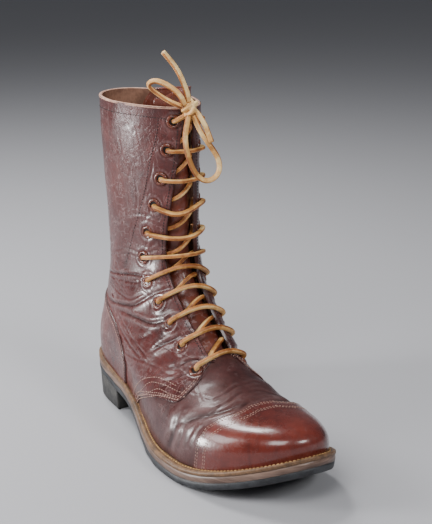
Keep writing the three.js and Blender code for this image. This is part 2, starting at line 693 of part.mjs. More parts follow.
// Point on the taut line between two eyelets, set on the upper at an offset from its face.
// share runs from the lateral (-1) to the medial (1) eyelet.
function acrossPoint(lateralRow, medialRow, share, offset) {
  const from = eyeletSeat(lateralRow, -1).point;
  const to = eyeletSeat(medialRow, 1).point;
  const mix = (share + 1) / 2;
  const target = from.clone().lerp(to, mix);
  const middleLevel = (lateralRow.level + medialRow.level) / 2;
  const climb = climbAt(Math.min(middleLevel, 0.98));
  const reach = (lateralRow.reach * (1 - mix) + medialRow.reach * mix) * BALL_WIDTH * Math.abs(share);
  const side = share < 0 ? -1 : 1;
  let low = middleLevel - 0.06;
  let high = Math.min(middleLevel + 0.12, 1);
  for (let i = 0; i < 22; i += 1) {
    const level = (low + high) / 2;
    const height = surface(turnAt(level, side, reach), level).sub(target).dot(climb);
    if (height < 0) low = level;
    else high = level;
  }
  const level = (low + high) / 2;
  return offsetPoint(turnAt(level, side, reach), level, offset);
}

function eyeletPoint(row, side) {
  const seat = eyeletSeat(row, side);
  return seat.point.clone().addScaledVector(seat.out, UNDER_FACING);
}

// The lace's way from under the facing out through an eyelet and over its flange.
function leaveEyelet(row, side, towards) {
  const seat = eyeletSeat(row, side);
  const way = towards.clone().sub(seat.point).projectOnPlane(seat.out).normalize();
  const at = (offset, run) => seat.point.clone().addScaledVector(seat.out, offset).addScaledVector(way, run);
  return [
    at(UNDER_FACING, 0),
    at(0, 0),
    at(FLANGE_SEAT + LACE_RADIUS, 0),
    at(OVER_FLANGE, LACE_DIAMETER),
    at(OVER_FLANGE, EYELET_FLANGE + LACE_RADIUS),
  ];
}

// The bar of a row runs from inside the lateral eyelet over both facings into the medial one.
function laceBar(row) {
  const middle = [-0.45, 0, 0.45].map((share) => acrossPoint(row, row, share, OVER_FACING));
  const points = [
    ...leaveEyelet(row, -1, middle[0]),
    ...middle,
    ...leaveEyelet(row, 1, middle[2]).reverse(),
  ];
  return cord(points, LACE_SIDES, 13);
}

// Inside, the lace climbs from a lateral eyelet to the medial eyelet of the row above.
function laceClimb(row, above) {
  const middle = [-0.5, -0.25, 0, 0.25, 0.5].map((share) => acrossPoint(row, above, share, UNDER_FACING));
  return cord([eyeletPoint(row, -1), ...middle, eyeletPoint(above, 1)], LACE_SIDES, 8);
}

// From each top eyelet the lace comes out and rises to the knot.
const KNOT = new THREE.Vector3(4.7, HEEL_AXIS - 125.5, 273);
const KNOT_SIZE = new THREE.Vector3(6.2, 4.6, 6.4);
function laceRise(side) {
  const rest = KNOT.clone().add(new THREE.Vector3(side * 3.2, 2.7, -6.9));
  return cord([...leaveEyelet(EYELET_ROWS[0], side, rest), rest], LACE_SIDES, 8);
}

function buildLaceRun() {
  let run = laceRise(1);
  EYELET_ROWS.slice(1).forEach((row, i) => {
    run = run.add(laceBar(row)).add(laceClimb(row, EYELET_ROWS[i]));
  });
  return run;
}

// Points of the bow, chosen by hand: sideways place, distance from the heel's back, height.
const LOOP_UPPER = [[-1.3, 128.1, 276.4], [-6, 129.5, 283.6], [-11.6, 128, 289.3], [-18.8, 125, 294],
  [-25.4, 121, 295.4], [-28.4, 119, 292.5], [-24.9, 119.5, 288], [-18.6, 122, 283], [-10.6, 124.5, 278],
  [-2.8, 126, 274.6]];
const LOOP_LOWER = [[1.7, 129.2, 267], [-0.6, 130.5, 260], [-2.2, 131, 250.1], [-0.1, 131.5, 236.4],
  [4.4, 132, 224.6], [11.8, 132, 215.7], [20.2, 132, 213.6], [27.6, 132, 218.2], [28.9, 132, 226.3],
  [24.6, 132.5, 235.6], [14.4, 132.5, 249.5], [8.5, 131.5, 260], [6, 129.8, 267.2]];
const END_SHORT = [[9.2, 129.2, 269.3], [12.2, 133, 263], [14.5, 135, 257.5], [17, 135.5, 251]];
const END_LONG = [[2.2, 128.2, 278.7], [-0.4, 130.5, 285.5], [-3.2, 131, 292], [-6.8, 131, 299.6],
  [-11, 130, 307], [-16.2, 129, 313.6], [-20.5, 128, 318.7]];

function bowCord(rows) {
  const points = rows.map(([x, along, z]) => new THREE.Vector3(x, HEEL_AXIS - along, z));
  const length = new THREE.CatmullRomCurve3(points, false, "centripetal").getLength();
  return cord(points, CORD_SIDES, Math.round(length / (2.2 * LACE_DIAMETER)));
}

function buildKnot() {
  const ball = new THREE.SphereGeometry(1, 14, 9);
  ball.scale(KNOT_SIZE.x, KNOT_SIZE.y, KNOT_SIZE.z);
  ball.translate(KNOT.x, KNOT.y, KNOT.z);
  return toSolid(ball);
}

const FINISH = {
  leather: { color: 0x5a211b, roughness: 0.35, metalness: 0 },
  cap: { color: 0x6e2a20, roughness: 0.28, metalness: 0 },
  tongue: { color: 0x64281f, roughness: 0.4, metalness: 0 },
  welt: { color: 0xa78357, roughness: 0.7, metalness: 0 },
  midsole: { color: 0x8a6647, roughness: 0.6, metalness: 0 },
  rubber: { color: 0x202226, roughness: 0.75, metalness: 0 },
  insole: { color: 0x8d6c4a, roughness: 0.8, metalness: 0 },
  eyelet: { color: 0x6a3526, roughness: 0.4, metalness: 0.3 },
  lace: { color: 0xc59a5a, roughness: 0.7, metalness: 0 },
};

const boot = new THREE.Group();
function addPiece(name, solid, finish) {
  const mesh = new THREE.Mesh(toGeometry(solid), new THREE.MeshStandardMaterial(FINISH[finish]));
  mesh.name = name;
  boot.add(mesh);
}

addPiece("outsole", buildOutsole(), "rubber");
addPiece("midsole", buildMidsole(), "midsole");
addPiece("welt", buildWelt(), "welt");
addPiece("heel", buildHeel(), "rubber");
addPiece("insole", buildInsole(), "insole");
addPiece("upper", buildUpper(), "leather");
addPiece("toe_cap", buildToeCap(), "cap");
addPiece("counter", buildCounter(), "leather");
addPiece("tongue", buildTongue(), "tongue");
EYELET_ROWS.forEach((row, i) => {
  const number = String(i + 1).padStart(2, "0");
  addPiece(`eyelet_lateral_${number}`, buildEyelet(row, -1), "eyelet");
  addPiece(`eyelet_medial_${number}`, buildEyelet(row, 1), "eyelet");
});
addPiece("lace_run", buildLaceRun(), "lace");
addPiece("lace_rise_lateral", laceRise(-1), "lace");
addPiece("lace_knot", buildKnot(), "lace");
addPiece("lace_loop_upper", bowCord(LOOP_UPPER), "lace");
addPiece("lace_loop_lower", bowCord(LOOP_LOWER), "lace");
addPiece("lace_end_short", bowCord(END_SHORT), "lace");
addPiece("lace_end_long", bowCord(END_LONG), "lace");

export default boot;
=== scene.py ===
"""Visual model of a right combat boot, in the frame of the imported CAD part.

Everything is worked out in millimetres and scaled to metres when a mesh is made.
The sole's edge is a curve x = c(a) +- h(a) sin a, s = L (1 - cos a) / 2 with the angle a from the
heel's back to the toe; the upper is a stack of sections that lean from a point up the heel to a
point on the instep ridge. A point of the upper is named by its turn (-180 degrees at the ridge,
over the lateral side to 0 at the heel's back, over the medial side to 180) and its level (0 at the
welt, 1 at the collar). Panels are ruled between two lines in turn and level, lifted by their
thickness, and share one relief of creases, so that the layers never cross.
"""
import functools
import itertools
import math
import bpy
import numpy as np
from mathutils import Matrix, Vector


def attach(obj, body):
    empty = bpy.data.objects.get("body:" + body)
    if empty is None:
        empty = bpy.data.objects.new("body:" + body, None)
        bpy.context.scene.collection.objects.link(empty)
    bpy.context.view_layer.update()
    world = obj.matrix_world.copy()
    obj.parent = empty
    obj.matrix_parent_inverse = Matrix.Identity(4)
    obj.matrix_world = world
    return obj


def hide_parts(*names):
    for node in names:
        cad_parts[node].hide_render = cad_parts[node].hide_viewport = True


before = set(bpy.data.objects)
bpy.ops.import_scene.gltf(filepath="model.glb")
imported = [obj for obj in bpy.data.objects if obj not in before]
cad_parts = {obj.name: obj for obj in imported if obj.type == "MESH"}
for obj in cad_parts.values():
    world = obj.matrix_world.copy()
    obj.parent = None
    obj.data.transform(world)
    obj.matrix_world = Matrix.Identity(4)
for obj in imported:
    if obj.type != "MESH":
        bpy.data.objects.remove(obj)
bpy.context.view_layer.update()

MM = 0.001
PI = math.pi
rng = np.random.default_rng(7)

# Sizes repeated from the part's source, in millimetres
SOLE_LENGTH = 305.0
BALL_WIDTH = 107.5
HEEL_LENGTH = 67.0
HEEL_HEIGHT = 27.0
HEEL_BREAST_HEIGHT = 18.5
TOE_SPRING = 28.0
RUBBER = 5.9
MIDSOLE = 5.4
WELT = 3.7
STACK = RUBBER + MIDSOLE + WELT
HEEL_AXIS = 32.0
BOOT_HEIGHT = 272.0
INSTEP_RISE = 76.0
WELT_SHOW = 7.0
WALL = 1.8
STEP = 1.0
GAP = 0.3

# centre and half width (shares of the ball width) and inset of the upper, every 15 degrees
OUTLINE = np.array([
    (0.0, 0.516, 0.71), (0.0, 0.558, 0.71), (0.014, 0.54, 0.71), (0.009, 0.442, 0.64),
    (-0.019, 0.358, 0.57), (-0.06, 0.34, 0.57), (-0.079, 0.409, 0.71), (-0.065, 0.502, 0.93),
    (-0.023, 0.577, 1), (0.037, 0.651, 1), (0.066, 0.675, 1), (0.084, 0.72, 1), (0.092, 0.73, 1)])

# back, backUp, front, frontUp, lateral, medial, widest, heelFull, noseFull, heelSide, ridgeSide,
# oval; the last four rows count their height from the instep up
SECTIONS = np.array([
    (0, 0, 0, 0, 0.437, 0.391, 0.7, 2.4, 2.4, 0, 0.065, 0),
    (0.0066, 0.113, 0.978, 0.122, 0.437, 0.4, 0.68, 2.4, 2.4, 0, 0.056, 0.05),
    (0.0026, 0.205, 0.962, 0.205, 0.428, 0.391, 0.66, 2.4, 2.4, 0, 0.0465, 0.15),
    (0.0026, 0.304, 0.912, 0.245, 0.4, 0.358, 0.63, 2.4, 2.3, 0, 0.037, 0.35),
    (0.0046, 0.403, 0.8131, 0.254, 0.363, 0.33, 0.6, 2.4, 2.1, 0, 0.0326, 0.65),
    (0.0092, 0.508, 0.6967, 0.339, 0.33, 0.312, 0.55, 2.4, 1.9, 0.005, 0.0326, 0.9),
    (0.0141, 0.626, 0.6164, 0.495, 0.307, 0.307, 0.52, 2.4, 1.7, 0.009, 0.042, 1),
    (0.022, 0.771, 0.5279, 0.732, 0.284, 0.312, 0.5, 2.3, 1.65, 0.014, 0.051, 1),
    (0.0302, 0.955, 0.4459, 1, 0.265, 0.316, 0.48, 2.3, 1.6, 0.023, 0.056, 1),
    (0.0361, 0.0945, 0.3852, 0.175, 0.26, 0.316, 0.46, 2.2, 1.55, 0.033, 0.0605, 1),
    (0.0367, 0.327, 0.382, 0.418, 0.284, 0.307, 0.46, 2.2, 1.5, 0.037, 0.065, 1),
    (0.0328, 0.625, 0.3836, 0.677, 0.321, 0.298, 0.47, 2.2, 1.45, 0.033, 0.07, 1),
    (0.0295, 1, 0.3902, 1, 0.353, 0.288, 0.48, 2.2, 1.45, 0.023, 0.079, 1)])
SHAFT_ROWS = 4

# level and reach (share of the ball width) of each eyelet row, top first
EYELETS = [(0.982, 0.112), (0.944, 0.14), (0.901, 0.167), (0.855, 0.191), (0.805, 0.209),
           (0.755, 0.219), (0.697, 0.219), (0.64, 0.214), (0.583, 0.209), (0.525, 0.207),
           (0.454, 0.209)]

# the throat's half width (share of the ball width) by level
THROAT = np.array([(0.474, 0.008), (0.482, 0.05), (0.495, 0.085), (0.52, 0.105), (0.6, 0.112),
                   (0.68, 0.117), (0.75, 0.128), (0.82, 0.122), (0.88, 0.098), (0.94, 0.065),
                   (1, 0.048)])

# Panel edges and seams on the lateral side: turn in degrees from the heel, level
QUARTER_EDGE = [(176, 0.478), (168, 0.496), (158, 0.502), (148, 0.464), (140, 0.418), (128, 0.368),
                (119, 0.326), (116, 0.318), (110, 0.308), (102, 0.288), (94, 0.252), (87, 0.2),
                (81, 0.12), (76, 0)]
CAP_EDGE = [(180, 0.356), (168, 0.352), (154, 0.326), (141, 0.298), (131, 0.258), (125, 0.2),
            (122, 0.13), (121, 0)]
COUNTER_EDGE = [(0, 0.562), (20, 0.556), (40, 0.53), (57, 0.492), (67, 0.455), (72, 0.41),
                (73, 0.35), (70, 0.24), (66, 0.12), (64, 0)]


# The form


def spline(values, span):
    """Natural cubic spline through equally spaced values, as a function on arrays."""
    y = np.asarray(values, float)
    n = len(y)
    a = np.eye(n)
    r = np.zeros(n)
    for i in range(1, n - 1):
        a[i, i - 1:i + 2] = 1, 4, 1
        r[i] = 6 * (y[i + 1] - 2 * y[i] + y[i - 1])
    m = np.linalg.solve(a, r)

    def at(place):
        x = np.clip(np.asarray(place, float) / span, 0, 1) * (n - 1)
        i = np.minimum(x.astype(int), n - 2)
        f = x - i
        g = 1 - f
        return y[i] * g + y[i + 1] * f + ((g ** 3 - g) * m[i] + (f ** 3 - f) * m[i + 1]) / 6
    return at


centre_at = spline(OUTLINE[:, 0] * BALL_WIDTH, PI)
half_at = spline(OUTLINE[:, 1] * BALL_WIDTH, PI)
show_at = spline(OUTLINE[:, 2] * WELT_SHOW, PI)


def edge_point(angle, side, inset):
    """Point of the sole's edge, moved inwards square to it: x and distance from the heel."""
    def at(a):
        return centre_at(a) + side * half_at(a) * np.sin(a), SOLE_LENGTH * (1 - np.cos(a)) / 2
    x, s = at(angle)
    x1, s1 = at(angle + 0.001)
    x0, s0 = at(angle - 0.001)
    run = np.hypot(x1 - x0, s1 - s0)
    return x - inset * side * (s1 - s0) / run, s + inset * side * (x1 - x0) / run


WAIST_END = 0.6 * SOLE_LENGTH
SPRING_START = 0.695 * SOLE_LENGTH


def underside(s):
    """Height of the outsole's underside at a distance from the heel's back."""
    u = np.clip((s - HEEL_LENGTH) / (WAIST_END - HEEL_LENGTH), 0, 1)
    heel = HEEL_HEIGHT + (HEEL_BREAST_HEIGHT - HEEL_HEIGHT) * np.minimum(s / HEEL_LENGTH, 1)
    arch = HEEL_BREAST_HEIGHT * (1 - u * u * (3 - 2 * u))
    lift = np.maximum((s - SPRING_START) / (SOLE_LENGTH - SPRING_START), 0)
    return np.where(s < HEEL_LENGTH, heel, arch) + TOE_SPRING * lift ** 1.7


foot_ends = [float(edge_point(a, 1, show_at(a))[1]) for a in (0.0, PI)]
feather_ends = [float(underside(np.array(s)) + STACK) for s in foot_ends]
shaft_base = feather_ends[0] + INSTEP_RISE
shaft_rise = BOOT_HEIGHT - shaft_base
rows = SECTIONS.copy()
rows[0, 0], rows[0, 2] = (s / SOLE_LENGTH for s in foot_ends)
base_front = feather_ends[1] * (1 - rows[:, 11]) + feather_ends[0] * rows[:, 11]
is_shaft = np.arange(len(rows)) >= len(rows) - SHAFT_ROWS


def section_heights(base, share):
    """Heights of the sections' ends: a share of the shaft's rise, or of the instep's over its base."""
    return np.where(is_shaft, shaft_base + share * shaft_rise, base + share * INSTEP_RISE)


back_z = section_heights(feather_ends[0], rows[:, 1])
front_z = section_heights(base_front, rows[:, 3])
at_back, at_front = (spline(rows[:, i] * SOLE_LENGTH, 1) for i in (0, 2))
at_back_z, at_front_z = spline(back_z, 1), spline(front_z, 1)
at_lateral, at_medial = (spline(rows[:, i] * BALL_WIDTH, 1) for i in (4, 5))
at_widest, at_heel_full, at_nose_full = (spline(rows[:, i], 1) for i in (6, 7, 8))
at_heel_side, at_ridge_side = (spline(rows[:, i] * BALL_WIDTH, 1) for i in (9, 10))
at_oval = spline(rows[:, 11], 1)


def surface(turn, level):
    """Outer face of the vamp: an array of points (x, y, z) for turns in radians and levels."""
    turn, level = np.broadcast_arrays(np.asarray(turn, float), np.asarray(level, float))
    past = np.abs(turn) > PI
    angle = np.where(past, 2 * PI - np.abs(turn), np.abs(turn))
    side = np.where((turn < 0) == past, 1.0, -1.0)
    foot_x, foot_s = edge_point(angle, side, show_at(angle))
    t = np.clip((foot_s - foot_ends[0]) / (foot_ends[1] - foot_ends[0]), 0, 1)
    dip = underside(foot_s) + STACK - (feather_ends[0] + (feather_ends[1] - feather_ends[0]) * t)
    oval = np.clip(at_oval(level), 0, 1)
    back, back_height = at_back(level), at_back_z(level)
    s = back + (at_front(level) - back) * t
    z = back_height + (at_front_z(level) - back_height) * t + dip * (1 - oval)
    widest = at_widest(level)
    behind = t < widest
    off = np.clip(np.abs(t - widest) / np.where(behind, widest, 1 - widest), 0, 1)
    full = np.where(behind, at_heel_full(level), at_nose_full(level))
    bulge = np.sqrt(np.maximum(1 - off ** full, 0))
    half = np.where(side < 0, at_lateral(level), at_medial(level))
    heel_side = at_heel_side(level)
    oval_x = heel_side + (at_ridge_side(level) - heel_side) * t + side * half * bulge
    x = foot_x * (1 - oval) + oval_x * oval
    return np.stack([x, HEEL_AXIS - s, z], -1)


def unit(v):
    """Vectors of length one."""
    return v / np.maximum(np.linalg.norm(v, axis=-1, keepdims=True), 1e-12)


def outward(turn, level):
    """Normals of the outer face, level at the welt and the collar: the cross of its two slopes."""
    turn, level = np.broadcast_arrays(np.asarray(turn, float), np.asarray(level, float))
    d = 0.006
    around = surface(turn + d, level) - surface(turn - d, level)
    up = surface(turn, np.minimum(level + d, 1)) - surface(turn, np.maximum(level - d, 0))
    n = np.cross(up, around)
    flat = (level <= 0) | (level >= 1)
    n[..., 2] = np.where(flat, 0, n[..., 2])
    return unit(n)


def raised(turn, level, height):
    """Points at a height over the outer face, square to it."""
    return surface(turn, level) + outward(turn, level) * height


HALVINGS = 22


def turn_at(level, side, reach):
    """Turn at which the face lies reach millimetres sideways from the ridge, found by halving."""
    level, reach = np.broadcast_arrays(np.asarray(level, float), np.asarray(reach, float))
    ridge = surface(PI, level)[..., 0]
    low = np.full(level.shape, PI / 2)
    high = np.full(level.shape, PI)
    for _ in range(HALVINGS):
        mid = (low + high) / 2
        far = np.abs(surface(side * mid, level)[..., 0] - ridge) > reach
        low = np.where(far, mid, low)
        high = np.where(far, high, mid)
    return side * (low + high) / 2


def throat_half(level):
    """Half width of the throat in millimetres."""
    return np.interp(level, THROAT[:, 0], THROAT[:, 1]) * BALL_WIDTH


@functools.lru_cache(maxsize=None)
def eyelet_seat(row, side):
    """Turn, place on the outer face, and normal there of one eyelet."""
    level, reach = EYELETS[row]
    turn = float(turn_at(level, side, reach * BALL_WIDTH))
    return turn, surface(turn, level), outward(turn, level)


# Meshes


def add_mesh(name, points, faces, material, slot, swaps=(), smooth=True, attributes=None):
    """New piece on the boot's one body, from points in millimetres and a list of index arrays."""
    mesh = bpy.data.meshes.new(name)
    places = np.asarray(points, float).reshape(-1, 3) * MM
    loops = np.concatenate([f.ravel() for f in faces])
    counts = np.concatenate([np.full(len(f), f.shape[1]) for f in faces])
    mesh.vertices.add(len(places))
    mesh.vertices.foreach_set("co", places.ravel())
    mesh.loops.add(len(loops))
    mesh.loops.foreach_set("vertex_index", loops.astype(np.int32))
    mesh.polygons.add(len(counts))
    mesh.polygons.foreach_set("loop_start", np.r_[0, np.cumsum(counts)[:-1]].astype(np.int32))
    mesh.polygons.foreach_set("loop_total", counts.astype(np.int32))
    mesh.polygons.foreach_set("use_smooth", np.full(len(counts), smooth))
    for key, values in (attributes or {}).items():
        layer = mesh.attributes.new(key, "FLOAT", "POINT")
        layer.data.foreach_set("value", np.asarray(values, np.float32).ravel())
    mesh.update(calc_edges=True)
    mesh.validate()
    mesh.materials.append(material)
    obj = bpy.data.objects.new(name, mesh)
    bpy.context.scene.collection.objects.link(obj)
    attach(obj, "root")
    if swaps:
        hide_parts(*swaps)
    return obj


def grid_faces(rows, columns, wrap=False):
    """Quads of a grid of points; wrap joins its last column to its first."""
    r = np.arange(rows - 1)[:, None]
    c = np.arange(columns if wrap else columns - 1)[None, :]
    after = (c + 1) % columns
    corners = [r * columns + c, r * columns + after, (r + 1) * columns + after, (r + 1) * columns + c]
    return np.stack(corners, -1).reshape(-1, 4)


def fan(centre, first, count, flip=False):
    """Triangles from one point to a closed ring of count points; flip turns them over."""
    j = np.arange(count)
    rim = [first + j, first + (j + 1) % count]
    return np.stack([np.full(count, centre)] + (rim[::-1] if flip else rim), -1)


def join_parts(parts):
    """One point array and one list of index arrays out of several (points, index arrays) pairs."""
    points, faces, start = [], [], 0
    for part_points, part_faces in parts:
        points.append(part_points)
        faces.extend(f + start for f in part_faces)
        start += len(part_points)
    return np.concatenate(points), faces


def run_along(points):
    """Distance of each point of a line from its start."""
    return np.r_[0, np.cumsum(np.linalg.norm(np.diff(points, axis=0), axis=1))]


def frames_along(path, up):
    """Two normals along a path, carried without twist from the first, which is square to up."""
    t = unit(np.gradient(path, axis=0))
    n = np.zeros_like(path)
    n[0] = unit(np.cross(t[0], up))
    for i in range(1, len(path)):
        n[i] = unit(n[i - 1] - t[i] * np.dot(n[i - 1], t[i]))
    return n, np.cross(t, n)


def smooth_path(points, step):
    """Points about step apart on a natural cubic spline whose knots are the roots of the gaps."""
    p = np.asarray(points, float)
    knots = np.r_[0, np.cumsum(np.linalg.norm(np.diff(p, axis=0), axis=1) ** 0.5)]
    n = len(p)
    h = np.diff(knots)
    a = np.zeros((n, n))
    r = np.zeros((n, 3))
    a[0, 0] = a[-1, -1] = 1
    for i in range(1, n - 1):
        a[i, i - 1:i + 2] = h[i - 1], 2 * (h[i - 1] + h[i]), h[i]
        r[i] = 6 * ((p[i + 1] - p[i]) / h[i] - (p[i] - p[i - 1]) / h[i - 1])
    m = np.linalg.solve(a, r)
    x = np.linspace(0, knots[-1], 40 * n)
    i = np.clip(np.searchsorted(knots, x, side="right") - 1, 0, n - 2)
    f = ((x - knots[i]) / h[i])[:, None]
    g = 1 - f
    bend = ((g ** 3 - g) * m[i] + (f ** 3 - f) * m[i + 1]) * (h[i] ** 2)[:, None] / 6
    fine = p[i] * g + p[i + 1] * f + bend
    run = run_along(fine)
    count = max(int(round(run[-1] / step)), 2) + 1
    even = np.linspace(0, run[-1], count)
    return np.stack([np.interp(even, run, fine[:, j]) for j in range(3)], -1)


# Materials


def shade(colour, factor):
    """A colour times a factor."""
    return tuple(c * factor for c in colour)


class Shader:
    """Adds nodes to one new material, whose patterns read Object coordinates or attributes."""

    def __init__(self, name):
        self.material = bpy.data.materials.new(name)
        self.material.use_nodes = True
        self.tree = self.material.node_tree
        self.bsdf = self.tree.nodes["Principled BSDF"]
        self.coord = self.tree.nodes.new("ShaderNodeTexCoord").outputs["Object"]

    def fill(self, socket, value):
        """Link a socket to another one, or set its constant."""
        if isinstance(value, bpy.types.NodeSocket):
            self.tree.links.new(value, socket)
        else:
            socket.default_value = value

    def add(self, kind, inputs, **settings):
        """New node of a kind, with its inputs and settings."""
        node = self.tree.nodes.new("ShaderNode" + kind)
        for key, value in settings.items():
            setattr(node, key, value)
        for key, value in inputs.items():
            self.fill(node.inputs[key], value)
        return node

    def surface(self, values):
        """Fill the inputs of the surface itself."""
        for key, value in values.items():
            self.fill(self.bsdf.inputs[key], value)

    def noise(self, scale, detail, rough, vector=None, distortion=0.0):
        """Cloudy value around 0.5, scale clouds to the metre."""
        return self.add("TexNoise", {"Vector": vector or self.coord, "Scale": scale, "Detail": detail,
                                     "Roughness": rough, "Distortion": distortion}).outputs["Fac"]

    def ramp(self, value, stops):
        """Colour by value, eased between stops of (place, colour)."""
        node = self.add("ValToRGB", {"Fac": value})
        node.color_ramp.interpolation = "EASE"
        elements = node.color_ramp.elements
        while len(elements) < len(stops):
            elements.new(0.5)
        for element, (place, colour) in zip(elements, stops):
            element.position = place
            element.color = (*colour, 1)
        return node.outputs["Color"]

    def level(self, value, low, high, to_low=0.0, to_high=1.0):
        """Smooth step from to_low at low to to_high at high."""
        inputs = {"Value": value, "From Min": low, "From Max": high, "To Min": to_low, "To Max": to_high}
        return self.add("MapRange", inputs, interpolation_type="SMOOTHSTEP").outputs[0]

    def times(self, a, b):
        return self.add("Math", {0: a, 1: b}, operation="MULTIPLY").outputs[0]

    def plus(self, a, b):
        return self.add("Math", {0: a, 1: b}, operation="ADD").outputs[0]

    def blend(self, a, b, share):
        """The given share of a value a and the rest of b."""
        return self.plus(self.times(a, share), self.times(b, 1 - share))

    def mix(self, share, a, b):
        """Colour a with the given share of colour b over it."""
        paint = [c if isinstance(c, bpy.types.NodeSocket) else (*c, 1) for c in (a, b)]
        node = self.add("Mix", {}, data_type="RGBA", blend_type="MIX")
        for key, value in zip((0, 6, 7), (share, *paint)):
            self.fill(node.inputs[key], value)
        return node.outputs[2]

    def attribute(self, name):
        return self.add("Attribute", {}, attribute_name=name).outputs["Fac"]

    def bump(self, height, strength, distance, normal=None):
        """Normal bent by a height, over another bump where one is given."""
        inputs = {"Height": height, "Strength": strength, "Distance": distance}
        if normal is not None:
            inputs["Normal"] = normal
        return self.add("Bump", inputs).outputs["Normal"]

    def stretched(self, x, y, z):
        """Object coordinates times a factor each way."""
        return self.add("Mapping", {"Vector": self.coord, "Scale": (x, y, z)}).outputs["Vector"]

    def cracks(self, vector, warp, bend, scale):
        """Distance to the nearest edge of cells, which the colour warp bends."""
        bent = self.add("MixRGB", {"Fac": bend, "Color1": vector, "Color2": warp}, blend_type="ADD")
        cells = {"Vector": bent.outputs["Color"], "Scale": scale}
        return self.add("TexVoronoi", cells, feature="DISTANCE_TO_EDGE").outputs["Distance"]


# pale colour of the real hair-like cracks, and of the painted highlight on crease ridges
PALE_WEAR_AND_HIGHLIGHT = (0.24, 0.16, 0.155)
RED_BLOOM = (0.13, 0.02, 0.011)


def leather(name, deep, body, light, gloss=0.3, coat=0.35, crackle=0.5):
    """Polished, worn leather: mottled colour, painted highlights on crease ridges, painted shade in crease
    troughs, crackle and grain.
    """
    m = Shader(name)
    cloud = m.noise(24.0, 4.0, 0.62)
    fine = m.noise(210.0, 4.0, 0.68)
    streak = m.noise(75.0, 4.0, 0.65, vector=m.stretched(1.0, 1.0, 0.22), distortion=0.4)
    colour = m.ramp(m.blend(cloud, streak, 0.6), [(0.34, deep), (0.5, body), (0.66, light)])
    colour = m.mix(m.level(fine, 0.4, 0.7, 0.0, 0.4), colour, shade(deep, 0.6))
    bloom = m.times(m.attribute("bloom"), m.level(streak, 0.3, 0.6, 0.45, 1.0))
    colour = m.mix(m.times(bloom, 0.8), colour, RED_BLOOM)
    # crackle: dark edges of small cells, and in patches a wider net of pale hair-like cracks
    warp = m.add("TexNoise", {"Vector": m.coord, "Scale": 90.0, "Detail": 2.0}).outputs["Color"]
    cells = m.cracks(m.stretched(1.0, 1.0, 0.55), warp, 0.012, 165.0)
    line = m.times(m.level(cells, 0.0, 0.05, 1.0, 0.0), m.level(cloud, 0.45, 0.62, 0.0, crackle))
    colour = m.mix(m.times(line, 0.6), colour, shade(deep, 0.4))
    hairs = m.cracks(m.coord, warp, 0.035, 70.0)
    patch = m.noise(30.0, 3.0, 0.6, distortion=1.0)
    hair = m.times(m.level(hairs, 0.0, 0.05, 1.0, 0.0), m.level(patch, 0.46, 0.6, 0.0, crackle))
    colour = m.mix(hair, colour, shade(PALE_WEAR_AND_HIGHLIGHT, 1.2))
    # painted shade in the crease troughs, painted highlight on the ridges and eyelet rims, dark cut edges
    colour = m.mix(m.level(m.attribute("crease"), 0.1, 0.9, 0.0, 0.6), colour, shade(deep, 0.25))
    ridge_highlight = m.times(m.attribute("ridge"), m.level(fine, 0.35, 0.6, 0.25, 1.0))
    colour = m.mix(m.times(ridge_highlight, 0.4), colour, PALE_WEAR_AND_HIGHLIGHT)
    edge = m.times(m.attribute("edge"), m.level(cloud, 0.3, 0.6, 0.4, 1.0))
    colour = m.mix(m.times(edge, 0.6), colour, shade(deep, 0.4))
    rough = m.level(cloud, 0.35, 0.65, gloss - 0.05, gloss + 0.1)
    rough = m.plus(rough, m.times(m.level(fine, 0.4, 0.7), 0.12))
    grain = m.add("TexVoronoi", {"Vector": m.coord, "Scale": 1000.0}, feature="F1").outputs["Distance"]
    normal = m.bump(grain, 0.12, 0.0003)
    scratch = m.noise(330.0, 5.0, 0.72, vector=m.stretched(1.0, 1.0, 0.2), distortion=0.6)
    normal = m.bump(scratch, 0.22, 0.0008, normal)
    depth = m.level(cloud, 0.42, 0.62, 0.0, 0.7 * crackle)
    normal = m.bump(m.level(cells, 0.0, 0.09), depth, 0.0005, normal)
    m.surface({"Base Color": colour, "Roughness": rough, "Specular IOR Level": 0.3,
               "Coat Weight": coat, "Coat Roughness": 0.17, "Normal": normal})
    return m.material


def plain(name, dark, light, rough, scale=90.0, bump=0.3, spread=(1.0, 1.0, 1.0)):
    """Dull material with mottled colour and a little roughness."""
    m = Shader(name)
    cloud = m.noise(scale, 5.0, 0.65, vector=m.stretched(*spread))
    fine = m.noise(scale * 6, 3.0, 0.6, vector=m.stretched(*spread))
    mixed = m.blend(cloud, fine, 0.7)
    colour = m.ramp(mixed, [(0.36, dark), (0.64, light)])
    m.surface({"Base Color": colour, "Roughness": rough, "Normal": m.bump(mixed, bump, 0.0006)})
    return m.material


def rawhide():
    """Pale outer skin of the strip, darker orange-brown on its narrow sides, with darker patches."""
    m = Shader("rawhide")
    patch = m.noise(55.0, 4.0, 0.65)
    grain = m.noise(420.0, 4.0, 0.7)
    face = m.ramp(patch, [(0.36, (0.4, 0.17, 0.04)), (0.5, (0.7, 0.39, 0.13)), (0.64, (0.88, 0.62, 0.28))])
    side = m.ramp(patch, [(0.36, (0.2, 0.055, 0.01)), (0.62, (0.5, 0.19, 0.045))])
    share = m.level(m.plus(m.attribute("side"), m.times(grain, 0.3)), 0.62, 0.95)
    normal = m.bump(m.blend(patch, grain, 0.6), 0.35, 0.0006)
    m.surface({"Base Color": m.mix(share, face, side), "Roughness": 0.5, "Normal": normal})
    return m.material


